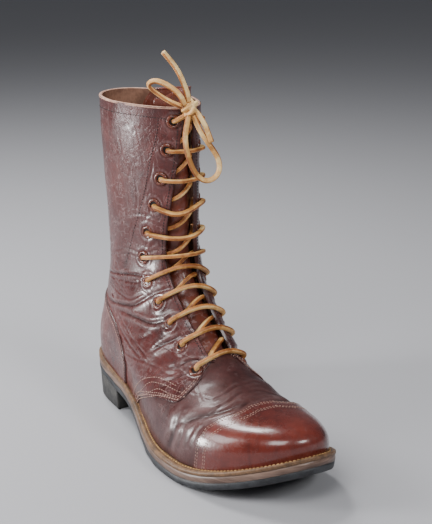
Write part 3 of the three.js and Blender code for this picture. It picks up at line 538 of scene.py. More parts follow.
LEATHER = leather("polished_leather", (0.034, 0.008, 0.0075), (0.076, 0.0175, 0.0155),
                  (0.125, 0.036, 0.032), gloss=0.27, coat=0.36)
VAMP_LEATHER = leather("vamp_leather", (0.04, 0.0135, 0.013), (0.072, 0.0265, 0.025),
                       (0.115, 0.05, 0.048), gloss=0.32, coat=0.2, crackle=0.25)
CAP_LEATHER = leather("cap_leather", (0.04, 0.0075, 0.007), (0.105, 0.0175, 0.0135),
                      (0.185, 0.036, 0.025), gloss=0.22, coat=0.7, crackle=0.12)
TONGUE_LEATHER = leather("tongue_leather", (0.07, 0.017, 0.011), (0.14, 0.036, 0.021),
                         (0.24, 0.075, 0.045), coat=0.4)
LINING = plain("lining_leather", (0.13, 0.055, 0.032), (0.26, 0.13, 0.08), 0.7, scale=60.0)
CUT_EDGE = plain("cut_edge", (0.33, 0.17, 0.12), (0.55, 0.34, 0.25), 0.7, scale=140.0)
WELT_LEATHER = plain("welt_leather", (0.07, 0.034, 0.015), (0.21, 0.11, 0.05), 0.5, scale=150.0, bump=0.5)
MIDSOLE_LEATHER = plain("midsole_leather", (0.06, 0.03, 0.02), (0.22, 0.14, 0.105), 0.4, scale=45.0,
                        bump=0.5, spread=(0.3, 0.3, 3.0))
RUBBER_BLACK = plain("sole_rubber", (0.006, 0.0065, 0.008), (0.03, 0.032, 0.037), 0.55, scale=80.0, bump=0.35)
HEEL_RUBBER = plain("heel_rubber", (0.011, 0.011, 0.012), (0.06, 0.057, 0.052), 0.7, scale=55.0, bump=0.4)
EYELET_PAINT = plain("eyelet_enamel", (0.05, 0.012, 0.008), (0.17, 0.05, 0.03), 0.2, scale=300.0, bump=0.1)
THREAD = plain("thread", (0.2, 0.11, 0.085), (0.46, 0.3, 0.245), 0.7, scale=500.0)
DARK_THREAD = plain("dark_thread", (0.003, 0.0015, 0.0015), (0.014, 0.006, 0.005), 0.7, scale=500.0)
WELT_THREAD = plain("welt_thread", (0.2, 0.1, 0.03), (0.5, 0.3, 0.12), 0.7, scale=500.0)
RAWHIDE = rawhide()
# dark discs in the eyelet holes: painted shade
HOLE_SHADE = plain("hole_shade", (0.004, 0.002, 0.002), (0.012, 0.006, 0.005), 0.9)

# Camera

# its place was found from the eyelets, the sole's edge and the outline in the photo
CAMERA = np.array([-510.3, -1000.6, 454.5])
CAMERA_TURN = (-34.06, 18.52, 1.53)
FOCAL_PX = 1326.3
FRAME_PX = 524.0
BOOT_PX = (145.0, 214.0)
HALF_FRAME = (216.0, 262.0)
SENSOR_MM = 36.0


def direction(azimuth, elevation):
    """Unit vector towards an azimuth and elevation in radians; azimuth 0 is the toe's side."""
    flat = math.cos(elevation)
    return np.array([math.sin(azimuth) * flat, -math.cos(azimuth) * flat, math.sin(elevation)])


def place_camera():
    """Camera at the photo's angle, turned only so far that the boot's middle is in the frame's."""
    azimuth, elevation, roll = (math.radians(a) for a in CAMERA_TURN)
    back = direction(azimuth, elevation)
    right = unit(np.cross(-back, (0, 0, 1.0)))
    up = np.cross(right, -back)
    right, up = math.cos(roll) * right + math.sin(roll) * up, math.cos(roll) * up - math.sin(roll) * right
    off = [(boot - half) / FOCAL_PX for boot, half in zip(BOOT_PX, HALF_FRAME)]
    ahead = unit(-back + right * off[0] - up * off[1])
    right = unit(right - ahead * np.dot(right, ahead))
    up = np.cross(right, ahead)
    data = bpy.data.cameras.new("camera")
    data.lens = FOCAL_PX / FRAME_PX * SENSOR_MM
    data.sensor_width = SENSOR_MM
    data.clip_end = 20.0
    camera = bpy.data.objects.new("camera", data)
    axes = Matrix([(right[i], up[i], -ahead[i]) for i in range(3)])
    camera.matrix_world = Matrix.Translation(Vector(CAMERA * MM)) @ axes.to_4x4()
    bpy.context.scene.collection.objects.link(camera)
    bpy.context.scene.camera = camera


place_camera()

# Lace

LACE = 2.9
LACE_R = LACE / 2
LACE_STEP = 1.2
FLANGE_SEAT = STEP + 1.5 * GAP
FLANGE = 0.9
OVER_FLANGE = FLANGE_SEAT + FLANGE + LACE_R + GAP
OVER_FACING = STEP + LACE_R + 2 * GAP
UNDER_FACING = -WALL - LACE_R - 2.5 * GAP
KNOT = np.array([4.7, HEEL_AXIS - 125.5, 273.0])
STRIP_WIDTH = 4.3
STRIP_THICK = 3.1
STRIP_SIDES = 16
STRIP_POWER = 3.4


def strip_profile():
    """Section of the lace: a superellipse |x| ** p + |y| ** p = 1, scaled to width and thickness."""
    angle = np.arange(STRIP_SIDES) / STRIP_SIDES * 2 * PI
    c, s = np.cos(angle), np.sin(angle)
    r = (np.abs(c) ** STRIP_POWER + np.abs(s) ** STRIP_POWER) ** (-1 / STRIP_POWER)
    return np.stack([r * c * STRIP_WIDTH / 2, r * s * STRIP_THICK / 2], -1)


LACE_PROFILE = strip_profile()


def strip(points, up, twist=0.0, step=LACE_STEP):
    """Lace through given points: its path, and the points and faces of its closed skin.

    The section is carried along the path and turned evenly, by twist radians in all.
    """
    path = smooth_path(points, step)
    n, b = (v[:, None, :] for v in frames_along(path, up))
    turning = twist * np.linspace(0, 1, len(path))
    c, s = np.cos(turning)[:, None, None], np.sin(turning)[:, None, None]
    n, b = n * c + b * s, b * c - n * s
    skin = path[:, None, :] + (LACE_PROFILE[:, :1] * n + LACE_PROFILE[:, 1:] * b)
    skin = np.concatenate([skin.reshape(-1, 3), path[:1], path[-1:]])
    first_end, last_end = len(skin) - 2, len(skin) - 1
    caps = [fan(first_end, 0, STRIP_SIDES, flip=True), fan(last_end, first_end - STRIP_SIDES, STRIP_SIDES)]
    return path, skin, [grid_faces(len(path), STRIP_SIDES, wrap=True)] + caps


def side_share(skin):
    """How much each point of a strip lies on its narrow sides; its two end points come last."""
    ring = np.abs(LACE_PROFILE[:, 0]) / LACE_PROFILE[:, 0].max()
    return np.concatenate([np.tile(ring ** 4, (len(skin) - 2) // len(ring)), [0.5, 0.5]])


def from_heel(points):
    """Points given as x, distance from the heel's back, and height."""
    return np.array([(x, HEEL_AXIS - s, z) for x, s, z in points])


LOOP_UPPER = from_heel([
    (-1.3, 128.1, 276.4), (-6, 129.5, 283.6), (-11.6, 128, 289.3), (-18.8, 125, 294),
    (-25.4, 121, 295.4), (-28.4, 119, 292.5), (-24.9, 119.5, 288), (-18.6, 122, 283),
    (-10.6, 124.5, 278), (-2.8, 126, 274.6)])
LOOP_LOWER = from_heel([
    (1.7, 129.2, 267), (-0.6, 130.5, 260), (-2.2, 131, 250.1), (-0.1, 131.5, 236.4),
    (4.4, 132, 224.6), (11.8, 132, 215.7), (20.2, 132, 213.6), (27.6, 132, 218.2),
    (28.9, 132, 226.3), (24.6, 132.5, 235.6), (14.4, 132.5, 249.5), (8.5, 131.5, 260),
    (6, 129.8, 267.2)])
END_SHORT = from_heel([
    (6.2, 127.4, 272), (9.2, 129.2, 269.3), (12.2, 133, 263), (14.5, 135, 257.5),
    (17, 135.5, 251), (19.2, 135.8, 245.8)])
END_LONG = from_heel([
    (2.2, 128.2, 278.7), (-0.4, 130.5, 285.5), (-3.2, 131, 292), (-6.8, 131, 299.6),
    (-11, 130, 307), (-16.2, 129, 313.6), (-20.5, 128, 318.7)])


def free_cord(name, points, node, twist):
    """Loop or end of the bow, a strip of lace through the given points."""
    path, skin, faces = strip(points, (0, 1.0, 0), twist)
    sides = {"side": side_share(skin)}
    obj = add_mesh(name, skin, faces, RAWHIDE, "lace", (node,), attributes=sides)


free_cord("bow_loop_upper", LOOP_UPPER, "lace_loop_upper", 1.1)
free_cord("bow_loop_lower", LOOP_LOWER, "lace_loop_lower", -0.9)
free_cord("bow_end_short", END_SHORT, "lace_end_short", 0.5)
free_cord("bow_end_long", END_LONG, "lace_end_long", 0.7)

# Creases and swellings

# side (-1 lateral, 1 medial), depth, width, then points as turn in degrees from the heel and level
CREASES = [
    (-1, 0.8, 1.3, [(34, 0.685), (54, 0.683), (90, 0.703), (110, 0.709), (132, 0.706)]),
    (-1, 1.0, 1.7, [(36, 0.55), (54, 0.544), (77, 0.576), (94, 0.601), (111, 0.644), (131, 0.677),
        (146, 0.69)]),
    (-1, 1.1, 1.9, [(71, 0.537), (85, 0.553), (100, 0.559), (110, 0.564), (127, 0.593),
        (137, 0.611), (156, 0.62)]),
    (-1, 1.0, 1.8, [(104, 0.445), (108, 0.466), (112, 0.486), (119, 0.513), (127, 0.534),
        (137, 0.556), (148, 0.571), (158, 0.578)]),
    (-1, 0.4, 2.8, [(80, 0.42), (98, 0.487), (110, 0.528)]),
    (-1, 0.4, 1.0, [(84, 0.449), (89, 0.421), (94, 0.401)]),
    (-1, 0.4, 1.1, [(69, 0.213), (87, 0.354), (98, 0.393), (107, 0.403), (115, 0.399)]),
    (-1, 0.35, 0.9, [(125, 0.466), (126, 0.444), (128, 0.423)]),
    (-1, 0.9, 1.6, [(114, 0.418), (125, 0.439), (133, 0.471), (142, 0.49), (151, 0.501),
        (157, 0.508)]),
    (-1, 0.7, 1.4, [(110, 0.366), (118, 0.387), (124, 0.407), (130, 0.426), (137, 0.44)]),
    (-1, 0.4, 1.1, [(71, 0.32), (83, 0.36), (94, 0.388), (106, 0.418)]),
    (-1, 0.6, 1.2, [(70, 0.46), (78, 0.42), (88, 0.4), (96, 0.392)]),
    (-1, 0.5, 1.1, [(76, 0.5), (86, 0.45), (96, 0.425), (104, 0.4)]),
    (-1, 0.5, 1.0, [(60, 0.63), (88, 0.616), (104, 0.648), (118, 0.654)]),
    (-1, 0.5, 1.0, [(56, 0.6), (70, 0.57), (82, 0.58), (103, 0.63)]),
    (-1, 0.55, 1.0, [(40, 0.8), (68, 0.81), (96, 0.832), (118, 0.838), (138, 0.83), (150, 0.826)]),
    (-1, 0.3, 0.8, [(60, 0.795), (80, 0.815), (104, 0.822)]),
    (-1, 0.6, 1.0, [(36, 0.765), (63, 0.756), (92, 0.77), (113, 0.764), (134, 0.772),
        (148, 0.768)]),
    (-1, 0.4, 0.8, [(40, 0.75), (61, 0.746), (92, 0.758), (112, 0.752)]),
    (-1, 0.5, 1.0, [(54, 0.66), (84, 0.677), (104, 0.686), (129, 0.72), (145, 0.73)]),
    (-1, 0.4, 0.9, [(68, 0.6), (82, 0.66), (94, 0.686)]),
    (-1, 0.3, 0.9, [(40, 0.972), (63, 0.972), (89, 0.974), (105, 0.972), (122, 0.968),
        (138, 0.966)]),
    (-1, 0.3, 0.9, [(60, 0.925), (96, 0.93), (108, 0.926), (124, 0.922)]),
    (-1, 0.3, 0.8, [(98, 0.995), (102, 0.984), (106, 0.975), (112, 0.966), (126, 0.958)]),
    (-1, 0.3, 0.8, [(108, 0.992), (114, 0.98), (121, 0.972), (130, 0.966)]),
    (-1, 0.35, 1.0, [(98, 0.94), (101, 0.9), (100, 0.87), (104, 0.83)]),
    (-1, 0.35, 1.0, [(106, 0.95), (110, 0.91), (112, 0.87), (110, 0.84)]),
    (-1, 1.1, 4.0, [(106, 0.19), (118, 0.252), (130, 0.298), (146, 0.332), (163, 0.358),
        (176, 0.37)]),
    (-1, 0.9, 3.6, [(106, 0.02), (107, 0.08), (109, 0.15), (114, 0.25), (122, 0.3)]),
    (-1, 0.6, 2.6, [(111, 0.06), (113, 0.13), (117, 0.22), (124, 0.272)]),
    (-1, 0.5, 1.7, [(119, 0.1), (121, 0.16), (125, 0.22), (132, 0.27), (143, 0.308), (156, 0.338),
        (170, 0.366), (180, 0.37)]),
    (-1, 0.45, 1.6, [(117, 0.12), (121, 0.21), (128, 0.272), (140, 0.328), (153, 0.362),
        (168, 0.392), (180, 0.396)]),
    (-1, 0.4, 1.6, [(142, 0.36), (156, 0.39), (170, 0.415), (180, 0.42)]),
    (1, 0.5, 1.7, [(180, 0.37), (166, 0.368), (152, 0.344), (142, 0.3), (134, 0.24), (128, 0.15)]),
    (1, 0.45, 1.6, [(180, 0.396), (164, 0.388), (150, 0.358), (140, 0.312), (130, 0.24),
        (124, 0.14)]),
    (1, 0.4, 1.6, [(180, 0.42), (160, 0.412), (150, 0.39)]),
    (1, 1.1, 4.0, [(176, 0.36), (160, 0.345), (146, 0.32), (132, 0.28), (120, 0.22)]),
    (1, 1.2, 2.2, [(84, 0.42), (98, 0.5), (112, 0.535), (128, 0.55), (150, 0.57)]),
    (1, 1.0, 1.8, [(60, 0.55), (80, 0.56), (98, 0.575), (112, 0.59), (128, 0.62), (150, 0.64)]),
    (1, 0.9, 1.6, [(107, 0.45), (120, 0.46), (136, 0.49), (152, 0.51)]),
    (1, 0.6, 1.1, [(36, 0.765), (63, 0.75), (92, 0.766), (118, 0.76), (145, 0.768)]),
    (1, 0.8, 1.4, [(40, 0.69), (70, 0.675), (96, 0.7), (124, 0.72)]),
    (1, 0.55, 1.1, [(50, 0.83), (84, 0.82), (110, 0.834), (140, 0.826)]),
    (1, 0.6, 1.2, [(60, 0.6), (86, 0.61), (104, 0.64)]),
    (1, 0.6, 1.2, [(72, 0.45), (90, 0.41), (108, 0.4)]),
]

WRINKLES = 260
MIN_TAPER = 0.02


def curve_through(table, count):
    """Turns in radians and levels along a smooth curve through rows of degrees and level."""
    p = np.array(table, float)
    k = np.linspace(0, 1, count)
    return np.radians(spline(p[:, 0], 1)(k)), np.clip(spline(p[:, 1], 1)(k), 0, 1)


def crease_lines():
    """Depth, width and points of every crease: those of the table, then short random wrinkles."""
    lines = []
    for side, depth, width, table in CREASES:
        turn, level = curve_through(table, 6 * (len(table) - 1) + 1)
        lines.append((depth, width, surface(turn * side, level)))
    for _ in range(WRINKLES):
        side = rng.choice([-1, 1])
        middle_turn = math.radians(rng.uniform(35, 140))
        middle_level = rng.uniform(0.36, 0.97)
        half_long = rng.uniform(0.012, 0.035)
        lean = rng.normal(0, 0.07)
        upright = rng.random() < (0.75 if middle_level > 0.8 else 0.35)
        k = np.linspace(-1, 1, 6)
        bow = rng.normal(0, 0.3) * (1 - k * k)
        if upright:
            turn = side * (middle_turn + lean * k + 0.03 * bow)
            level = middle_level + half_long * k
        else:
            turn = side * (middle_turn + 0.13 * k)
            level = middle_level + lean * 0.2 * k + 0.012 * bow
        share = 1.0 if middle_level > 0.6 else 0.45
        depth = share * rng.uniform(0.12, 0.36)
        width = rng.uniform(0.7, 1.2)
        lines.append((depth, width, surface(turn, np.clip(level, 0.02, 0.99))))
    return lines


crease_set = crease_lines()


def nearest_on(line, points):
    """Distance from each point to a line of points, and the place along it from 0 to 1."""
    best = np.full(len(points), 1e9)
    along = np.zeros(len(points))
    total = len(line) - 1
    for i in range(total):
        a, b = line[i], line[i + 1]
        d = b - a
        t = np.clip(((points - a) @ d) / max(d @ d, 1e-9), 0, 1)
        distance = np.linalg.norm(points - a - t[:, None] * d, axis=1)
        closer = distance < best
        best = np.where(closer, distance, best)
        along = np.where(closer, (i + t) / total, along)
    return best, along


def crease_field(points):
    """Height of the crease relief, and how much a point lies in a trough or on a ridge.

    With x the distance over the crease's width, the trough is 0.7 exp(-x^2) + 0.3 exp(-(x / 0.4)^2)
    and the ridge beside it exp(-((x - 1.7) / 0.9)^2), both fading towards the crease's ends.
    """
    flat = points.reshape(-1, 3)
    height, trough, ridge = np.zeros((3, len(flat)))
    for depth, width, line in crease_set:
        low, high = line.min(0) - 5 * width - 1, line.max(0) + 5 * width + 1
        near = np.flatnonzero(((flat > low) & (flat < high)).all(1))
        if not len(near):
            continue
        distance, along = nearest_on(line, flat[near])
        taper = np.clip(np.sin(np.clip(along, MIN_TAPER, 1 - MIN_TAPER) * PI) * 2.2, 0, 1)
        taper = taper * (0.8 + 0.2 * np.sin(9 * along + 4 * depth))
        x = distance / width
        dip = (0.7 * np.exp(-x * x) + 0.3 * np.exp(-(x / 0.4) ** 2)) * taper
        rise = np.exp(-((x - 1.7) / 0.9) ** 2) * taper
        height[near] += depth * (0.5 * rise - dip)
        weight = min(depth / 0.9, 1.0)
        # trough and ridge weights drive the leather's painted shade in troughs and painted highlight on
        # ridges
        trough[near] = np.maximum(trough[near], dip * weight)
        ridge[near] = np.maximum(ridge[near], rise * weight)
    return [field.reshape(points.shape[:-1]) for field in (height, trough, ridge)]


# swellings: side, turn in degrees, level, height, radius up and radius round
PUFFS = [
    (-1, 116, 0.527, 1.2, 10, 13), (-1, 120, 0.44, 1.3, 10, 13), (-1, 128, 0.637, 1.0, 10, 13),
    (-1, 140, 0.53, 1.3, 8, 10), (-1, 138, 0.59, 1.4, 8, 11), (-1, 130, 0.73, 1.0, 9, 13),
    (-1, 100, 0.45, 0.7, 11, 15), (-1, 100, 0.66, 0.9, 9, 14), (-1, 80, 0.73, 1.0, 11, 16),
    (-1, 84, 0.5, 0.7, 10, 15), (-1, 60, 0.62, 0.8, 12, 14), (-1, 112, 0.2, -1.1, 12, 16),
    (-1, 126, 0.17, 0.7, 12, 20), (-1, 138, 0.37, 0.7, 12, 24), (-1, 150, 0.42, -0.6, 14, 24),
    (1, 116, 0.527, 1.4, 9, 12), (1, 124, 0.45, 1.5, 9, 12), (1, 128, 0.637, 1.2, 8, 12),
    (1, 140, 0.53, 1.2, 8, 10), (1, 130, 0.73, 1.0, 9, 13), (1, 100, 0.46, 1.2, 10, 12),
    (1, 80, 0.73, 1.0, 11, 16), (1, 112, 0.2, -0.9, 12, 16), (1, 84, 0.5, 1.0, 9, 13),
    (1, 60, 0.62, 0.8, 12, 14), (1, 138, 0.37, 1.2, 8, 20),
]

DEEPEST = -1.3
EYELET_DIMPLE = 6.1
EYELET_RIM = 7.6
# radius of the pale ring round an eyelet, a painted highlight
HIGHLIGHT_RIM = 7.4


def swellings():
    """Centre, uphill direction, height and two radii of each swelling."""
    found = []
    for side, degrees, level, height, up_radius, round_radius in PUFFS:
        turn = side * math.radians(degrees)
        centre = surface(turn, level)
        climb = unit(surface(turn, level + 0.01) - centre)
        found.append((centre, climb, height, up_radius, round_radius))
    return found


puff_set = swellings()
eyelet_set = [eyelet_seat(row, side)[1] for row in range(len(EYELETS)) for side in (-1, 1)]


def puff_field(points):
    """Height of the broad relief: slow waves, bell-shaped swellings, a dimple and rim at each eyelet."""
    x, y, z = points[..., 0], points[..., 1], points[..., 2]
    out = 0.3 * np.sin(0.11 * z + 0.05 * y + 1.3) * np.cos(0.06 * y - 0.04 * x)
    out = out + 0.2 * np.sin(0.21 * y + 0.13 * z)
    for centre, climb, height, up_radius, round_radius in puff_set:
        away = points - centre
        up = away @ climb
        sideways = (away ** 2).sum(-1) - up ** 2
        out = out + height * np.exp(-(up / up_radius) ** 2 - sideways / round_radius ** 2)
    for centre in eyelet_set:
        r = np.linalg.norm(points - centre, axis=-1)
        out = out + 0.4 * np.exp(-((r - EYELET_RIM) / 1.3) ** 2)
        out = out - 0.55 * np.exp(-(r / EYELET_DIMPLE) ** 6)
    return np.maximum(out, DEEPEST)


def rim_field(points):
    """How much a point lies on the pale rim round an eyelet, which the leather paints as a highlight."""
    radii = [np.linalg.norm(points - centre, axis=-1) for centre in eyelet_set]
    return np.max([np.exp(-((r - HIGHLIGHT_RIM) / 0.8) ** 2) for r in radii], axis=0)


# Redder places on cap, vamp, counter and shaft: x, y, z, radius, amount
BLOOMS = [(-24, -232, 50, 26, 1.0), (10, -252, 48, 24, 0.9), (-30, 10, 75, 22, 0.8),
          (-30, -60, 50, 16, 0.7), (-34, -20, 200, 30, 0.4), (30, -230, 48, 22, 0.8)]


def bloom_field(points):
    """How red a point is: the largest of the bell-shaped blooms."""
    out = np.zeros(points.shape[:-1])
    for *centre, radius, amount in BLOOMS:
        d = np.linalg.norm(points - np.array(centre, float), axis=-1) / radius
        out = np.maximum(out, amount * np.exp(-d * d))
    return out


# Panels

# distances from the edge at which the last columns of a panel lie, on its rounding
EDGE_STEPS = np.array([1.6, 0.9, 0.45, 0.15, 0.0])
EDGE_ROUND = 0.55
NARROWEST = 4.0


def edge_line(table, count, side):
    """Rows of turn in radians and level, evenly along a table of degrees and levels, smoothed."""
    p = np.array(table, float)
    run = run_along(surface(np.radians(p[:, 0]) * side, p[:, 1]))
    even = np.linspace(0, run[-1], count)
    line = np.stack([np.radians(np.interp(even, run, p[:, 0])), np.interp(even, run, p[:, 1])], -1)
    for _ in range(6):
        line[1:-1] = 0.25 * line[:-2] + 0.5 * line[1:-1] + 0.25 * line[2:]
    return line


def both_sides(make):
    """What make gives for the lateral and the medial side."""
    return {side: make(side) for side in (-1, 1)}


def panel(name, centre, lines, centre_levels, material, columns, lift, thick, swaps=(), relief=1.0):
    """Leather panel ruled between its centre line and one edge line on each side.

    centre is the centre line's turn, 0 or pi, and lines maps a side to rows of turn and level.
    A point is the outer face's, moved out by lift, relief and less the rounding at the edge; one
    more column on each side is sunk by the panel's thickness.
    """
    even = np.linspace(0, 1, columns)[None, :]

    def ruled(side, share):
        turn = centre + share * (lines[side][:, :1] - centre)
        level = centre_levels[:, None] + share * (lines[side][:, 1:] - centre_levels[:, None])
        return side * turn, level

    halves = []
    for side in (-1, 1):
        steps = np.linalg.norm(np.diff(surface(*ruled(side, even)), axis=1), axis=2)
        width = np.maximum(steps.sum(1), NARROWEST)[:, None]
        share = [even[:, :-1] * (1 - EDGE_STEPS[0] / width), 1 - EDGE_STEPS / width]
        share = np.concatenate(share, 1)
        halves.append((*ruled(side, share), (1 - share) * width))
    turn, level, away = (np.concatenate([a[:, ::-1], b[:, 1:]], 1) for a, b in zip(*halves))
    base, normal = surface(turn, level), outward(turn, level)
    height, trough, ridge = crease_field(base)
    fall = np.clip(1 - away / EDGE_ROUND, 0, 1) ** 2 * EDGE_ROUND * 0.7
    total = lift + relief * (height + puff_field(base)) - fall
    sunk = base + normal * (total - thick)[..., None]
    points = base + normal * total[..., None]
    points = np.concatenate([sunk[:, :1], points, sunk[:, -1:]], 1)
    # the pale rim round each eyelet joins the ridges as painted highlight
    if relief == 1.0:
        ridge = np.maximum(ridge, 0.8 * rim_field(base))
    edge = np.exp(-(away / 1.3) ** 2)
    widen = ((0, 0), (1, 1))
    # crease carries the painted shade of the troughs, ridge the painted highlight of ridges and eyelet rims
    attributes = {"crease": np.pad(trough, widen), "ridge": np.pad(ridge, widen),
                  "edge": np.pad(edge, widen, constant_values=1.0), "bloom": bloom_field(points)}
    faces = [grid_faces(*points.shape[:2])[:, ::-1]]
    add_mesh(name, points, faces, material, "upper_leather", swaps, attributes=attributes)


FACING_ROWS = 150
FACING_BOTTOM = 0.497
LOWER_ROWS = 110
VAMP_ROWS = 210
VAMP_TOP = 0.53
CAP_ROWS = 90
COUNTER_ROWS = 80
CAP_LIFT = 1.5
CAP_THICK = 1.6
CAP_RELIEF = 0.35
COUNTER_THICK = 1.3
COUNTER_RELIEF = 0.4
SEAM_LIFT = 0.05


def quarter_line(side):
    """Edge of a quarter: down the facing beside the throat, then round to the welt."""
    level = np.linspace(1.0, FACING_BOTTOM, FACING_ROWS)
    front = np.stack([np.abs(turn_at(level, side, throat_half(level))), level], -1)
    table = [(math.degrees(front[-1, 0]), front[-1, 1])] + QUARTER_EDGE[2:]
    return np.concatenate([front, edge_line(table, LOWER_ROWS, side)[1:]])


quarter_lines = both_sides(quarter_line)
back_levels = 0.45 * np.linspace(1, 0, len(quarter_lines[1])) + 0.55 * quarter_lines[-1][:, 1]
panel("quarters", 0.0, quarter_lines, back_levels, LEATHER, columns=135, lift=STEP,
      thick=WALL + STEP, swaps=("upper",))

# the vamp's edge is the quarter's, a little further back and up, so that the quarter covers it
vamp_edge = [(a - (4 if a < 150 else 0), v + 0.012) for a, v in QUARTER_EDGE[2:-1]]
vamp_edge = [(180, VAMP_TOP)] + vamp_edge + [(70, 0)]
vamp_lines = both_sides(lambda side: edge_line(vamp_edge, VAMP_ROWS, side))
ridge_levels = VAMP_TOP * (1 - np.linspace(0, 1, VAMP_ROWS))
panel("vamp", PI, vamp_lines, ridge_levels, VAMP_LEATHER, columns=125, lift=0.0, thick=WALL)

cap_lines = both_sides(lambda side: edge_line(CAP_EDGE, CAP_ROWS, side))
panel("toe_cap_leather", PI, cap_lines, np.linspace(CAP_EDGE[0][1], 0, CAP_ROWS), CAP_LEATHER,
      columns=80, lift=CAP_LIFT, thick=CAP_THICK, swaps=("toe_cap",), relief=CAP_RELIEF)

counter_lines = both_sides(lambda side: edge_line(COUNTER_EDGE, COUNTER_ROWS, side))
panel("counter_leather", 0.0, counter_lines, np.linspace(COUNTER_EDGE[0][1], 0, COUNTER_ROWS), LEATHER,
      columns=60, lift=STEP + COUNTER_THICK, thick=COUNTER_THICK, swaps=("counter",),
      relief=COUNTER_RELIEF)

# Lining, collar and tongue

THROAT_END = 0.495
# how far the collar's rim stands out from the outer face, and its rise over the collar
COLLAR_RIM = ((STEP, -1.2), (STEP + 0.05, -0.5), (STEP - 0.3, 0.15), (STEP - 1.0, 0.4),
              (-0.6, 0.4), (-1.4, 0.15), (-WALL, -0.6))


def lining():
    """Inner face of shaft and foot, open at the throat, and the rim that rounds over to it."""
    levels = np.linspace(1, 0, 60)
    share = np.linspace(-1, 1, 97)[None, :]
    throat = both_sides(lambda side: np.abs(turn_at(levels, side, throat_half(levels))))
    edge = {side: np.where(levels > THROAT_END, throat[side], PI)[:, None] for side in throat}
    turn = share * np.where(share < 0, edge[-1], edge[1])
    level = np.broadcast_to(levels[:, None], turn.shape)
    add_mesh("lining", raised(turn, level, -WALL), [grid_faces(*turn.shape)], LINING, "upper_leather")
    rim = np.array([raised(turn[0], 1.0, offset) + (0, 0, rise) for offset, rise in COLLAR_RIM])
    add_mesh("collar_rim", rim, [grid_faces(*rim.shape[:2])], CUT_EDGE, "upper_leather")


lining()

TONGUE_DEPTH = WALL + LACE + 8 * GAP
TONGUE_FOOT = 0.44
TONGUE_THICK = 1.8
TONGUE_LEAN = 2.5
# how far the tongue reaches under the facings: levels, and millimetres
TONGUE_OVERLAP = ((TONGUE_FOOT, 0.5, 0.86, 1.0), (8.0, 9.0, 9.5, 21.5))
# where its medial wing ends inside the shaft: levels, and turns in degrees
WING = ((0.87, 0.93, 0.96, 0.98, 1.0), (150, 104, 52, 34, 50))
# how far its top stands above the collar: turns in degrees, and heights
CROWN = ((-180, -165, -150, -135, 45, 60, 70, 80, 90, 110, 140, 180),
         (15, 13.5, 10, 5, 2.5, 4, 5.2, 6.8, 8, 10.5, 14, 15))


def tongue():
    """Leaf behind the throat: the outer face moved inwards, then rings that rise over the collar.

    The rings draw in a little and lean back; waves in height bend the whole leaf, and an upright
    fold runs down from its top.
    """
    levels = np.linspace(TONGUE_FOOT, 1.0, 90)[:, None]
    share = np.linspace(-1, 1, 61)
    side = np.where(share < 0, -1, 1)
    half = throat_half(levels) + np.interp(levels, *TONGUE_OVERLAP)
    edge = np.where(share < 0, np.abs(turn_at(levels, -1, half)),
                    np.minimum(np.abs(turn_at(levels, 1, half)), np.radians(np.interp(levels, *WING))))
    turn = side * (PI - np.abs(share) * (PI - edge))
    depths = (WALL + 1.0, TONGUE_DEPTH - 0.6, TONGUE_DEPTH)
    depth = np.interp(levels, (TONGUE_FOOT, 0.47, 0.5), depths)[..., None]
    leaf = surface(turn, levels) - outward(turn, np.minimum(levels, 0.99)) * depth
    crown = leaf[-1]
    middle = crown[len(share) // 2]
    crown_rise = np.interp(np.degrees(turn[-1]), *CROWN)
    rings = []
    for rise in np.linspace(0.06, 1, 16):
        width = math.sqrt(1 - 0.08 * rise ** 3)
        ring = middle + (crown - middle) * np.array([width, width, 1])
        ring[:, 2] += crown_rise * rise
        ring[:, 1] -= TONGUE_LEAN * rise * np.exp(-(share / 0.3) ** 2)
        rings.append(ring)
    leaf = np.concatenate([leaf, np.array(rings)])
    x, z = leaf[..., 0], leaf[..., 2]
    wave = 0.6 * np.sin(0.16 * z + 0.1 * x) + 0.5 * np.sin(0.37 * z + 0.12 * x + 0.8)
    wave = wave + 0.3 * np.sin(0.71 * z - 0.2 * x)
    fold = np.exp(-((share + 0.35) / 0.13) ** 2) * np.clip((z - 258) / 14, 0, 1)
    leaf[..., 1] += wave * 0.55 + 2.2 * fold
    # painted shade in the fold and the waves' hollows, painted highlight on the waves' crests
    attributes = {"crease": np.clip(0.5 * fold - 0.35 * np.minimum(wave, 0), 0, 1),
                  "ridge": np.clip(wave, 0, 1) * 0.5, "edge": np.zeros_like(x),
                  "bloom": np.full_like(x, 0.35)}
    obj = add_mesh("tongue_leather", leaf, [grid_faces(*leaf.shape[:2])], TONGUE_LEATHER,
                   "tongue_leather", ("tongue",), attributes=attributes)
    wall = obj.modifiers.new("thickness", "SOLIDIFY")
    wall.thickness = TONGUE_THICK * MM
    wall.offset = -1


tongue()

# Eyelets

# the ring's profile: radius, and height over its seat
RING_PROFILE = np.array([(3.1, -2.2), (3.15, 0.2), (3.4, 0.85), (3.9, 1.15), (4.5, 1.15),
                         (5.2, 0.85), (5.75, 0.35), (5.85, -0.3)])
RING_SIDES = 32
BORE_RADIUS = 3.25


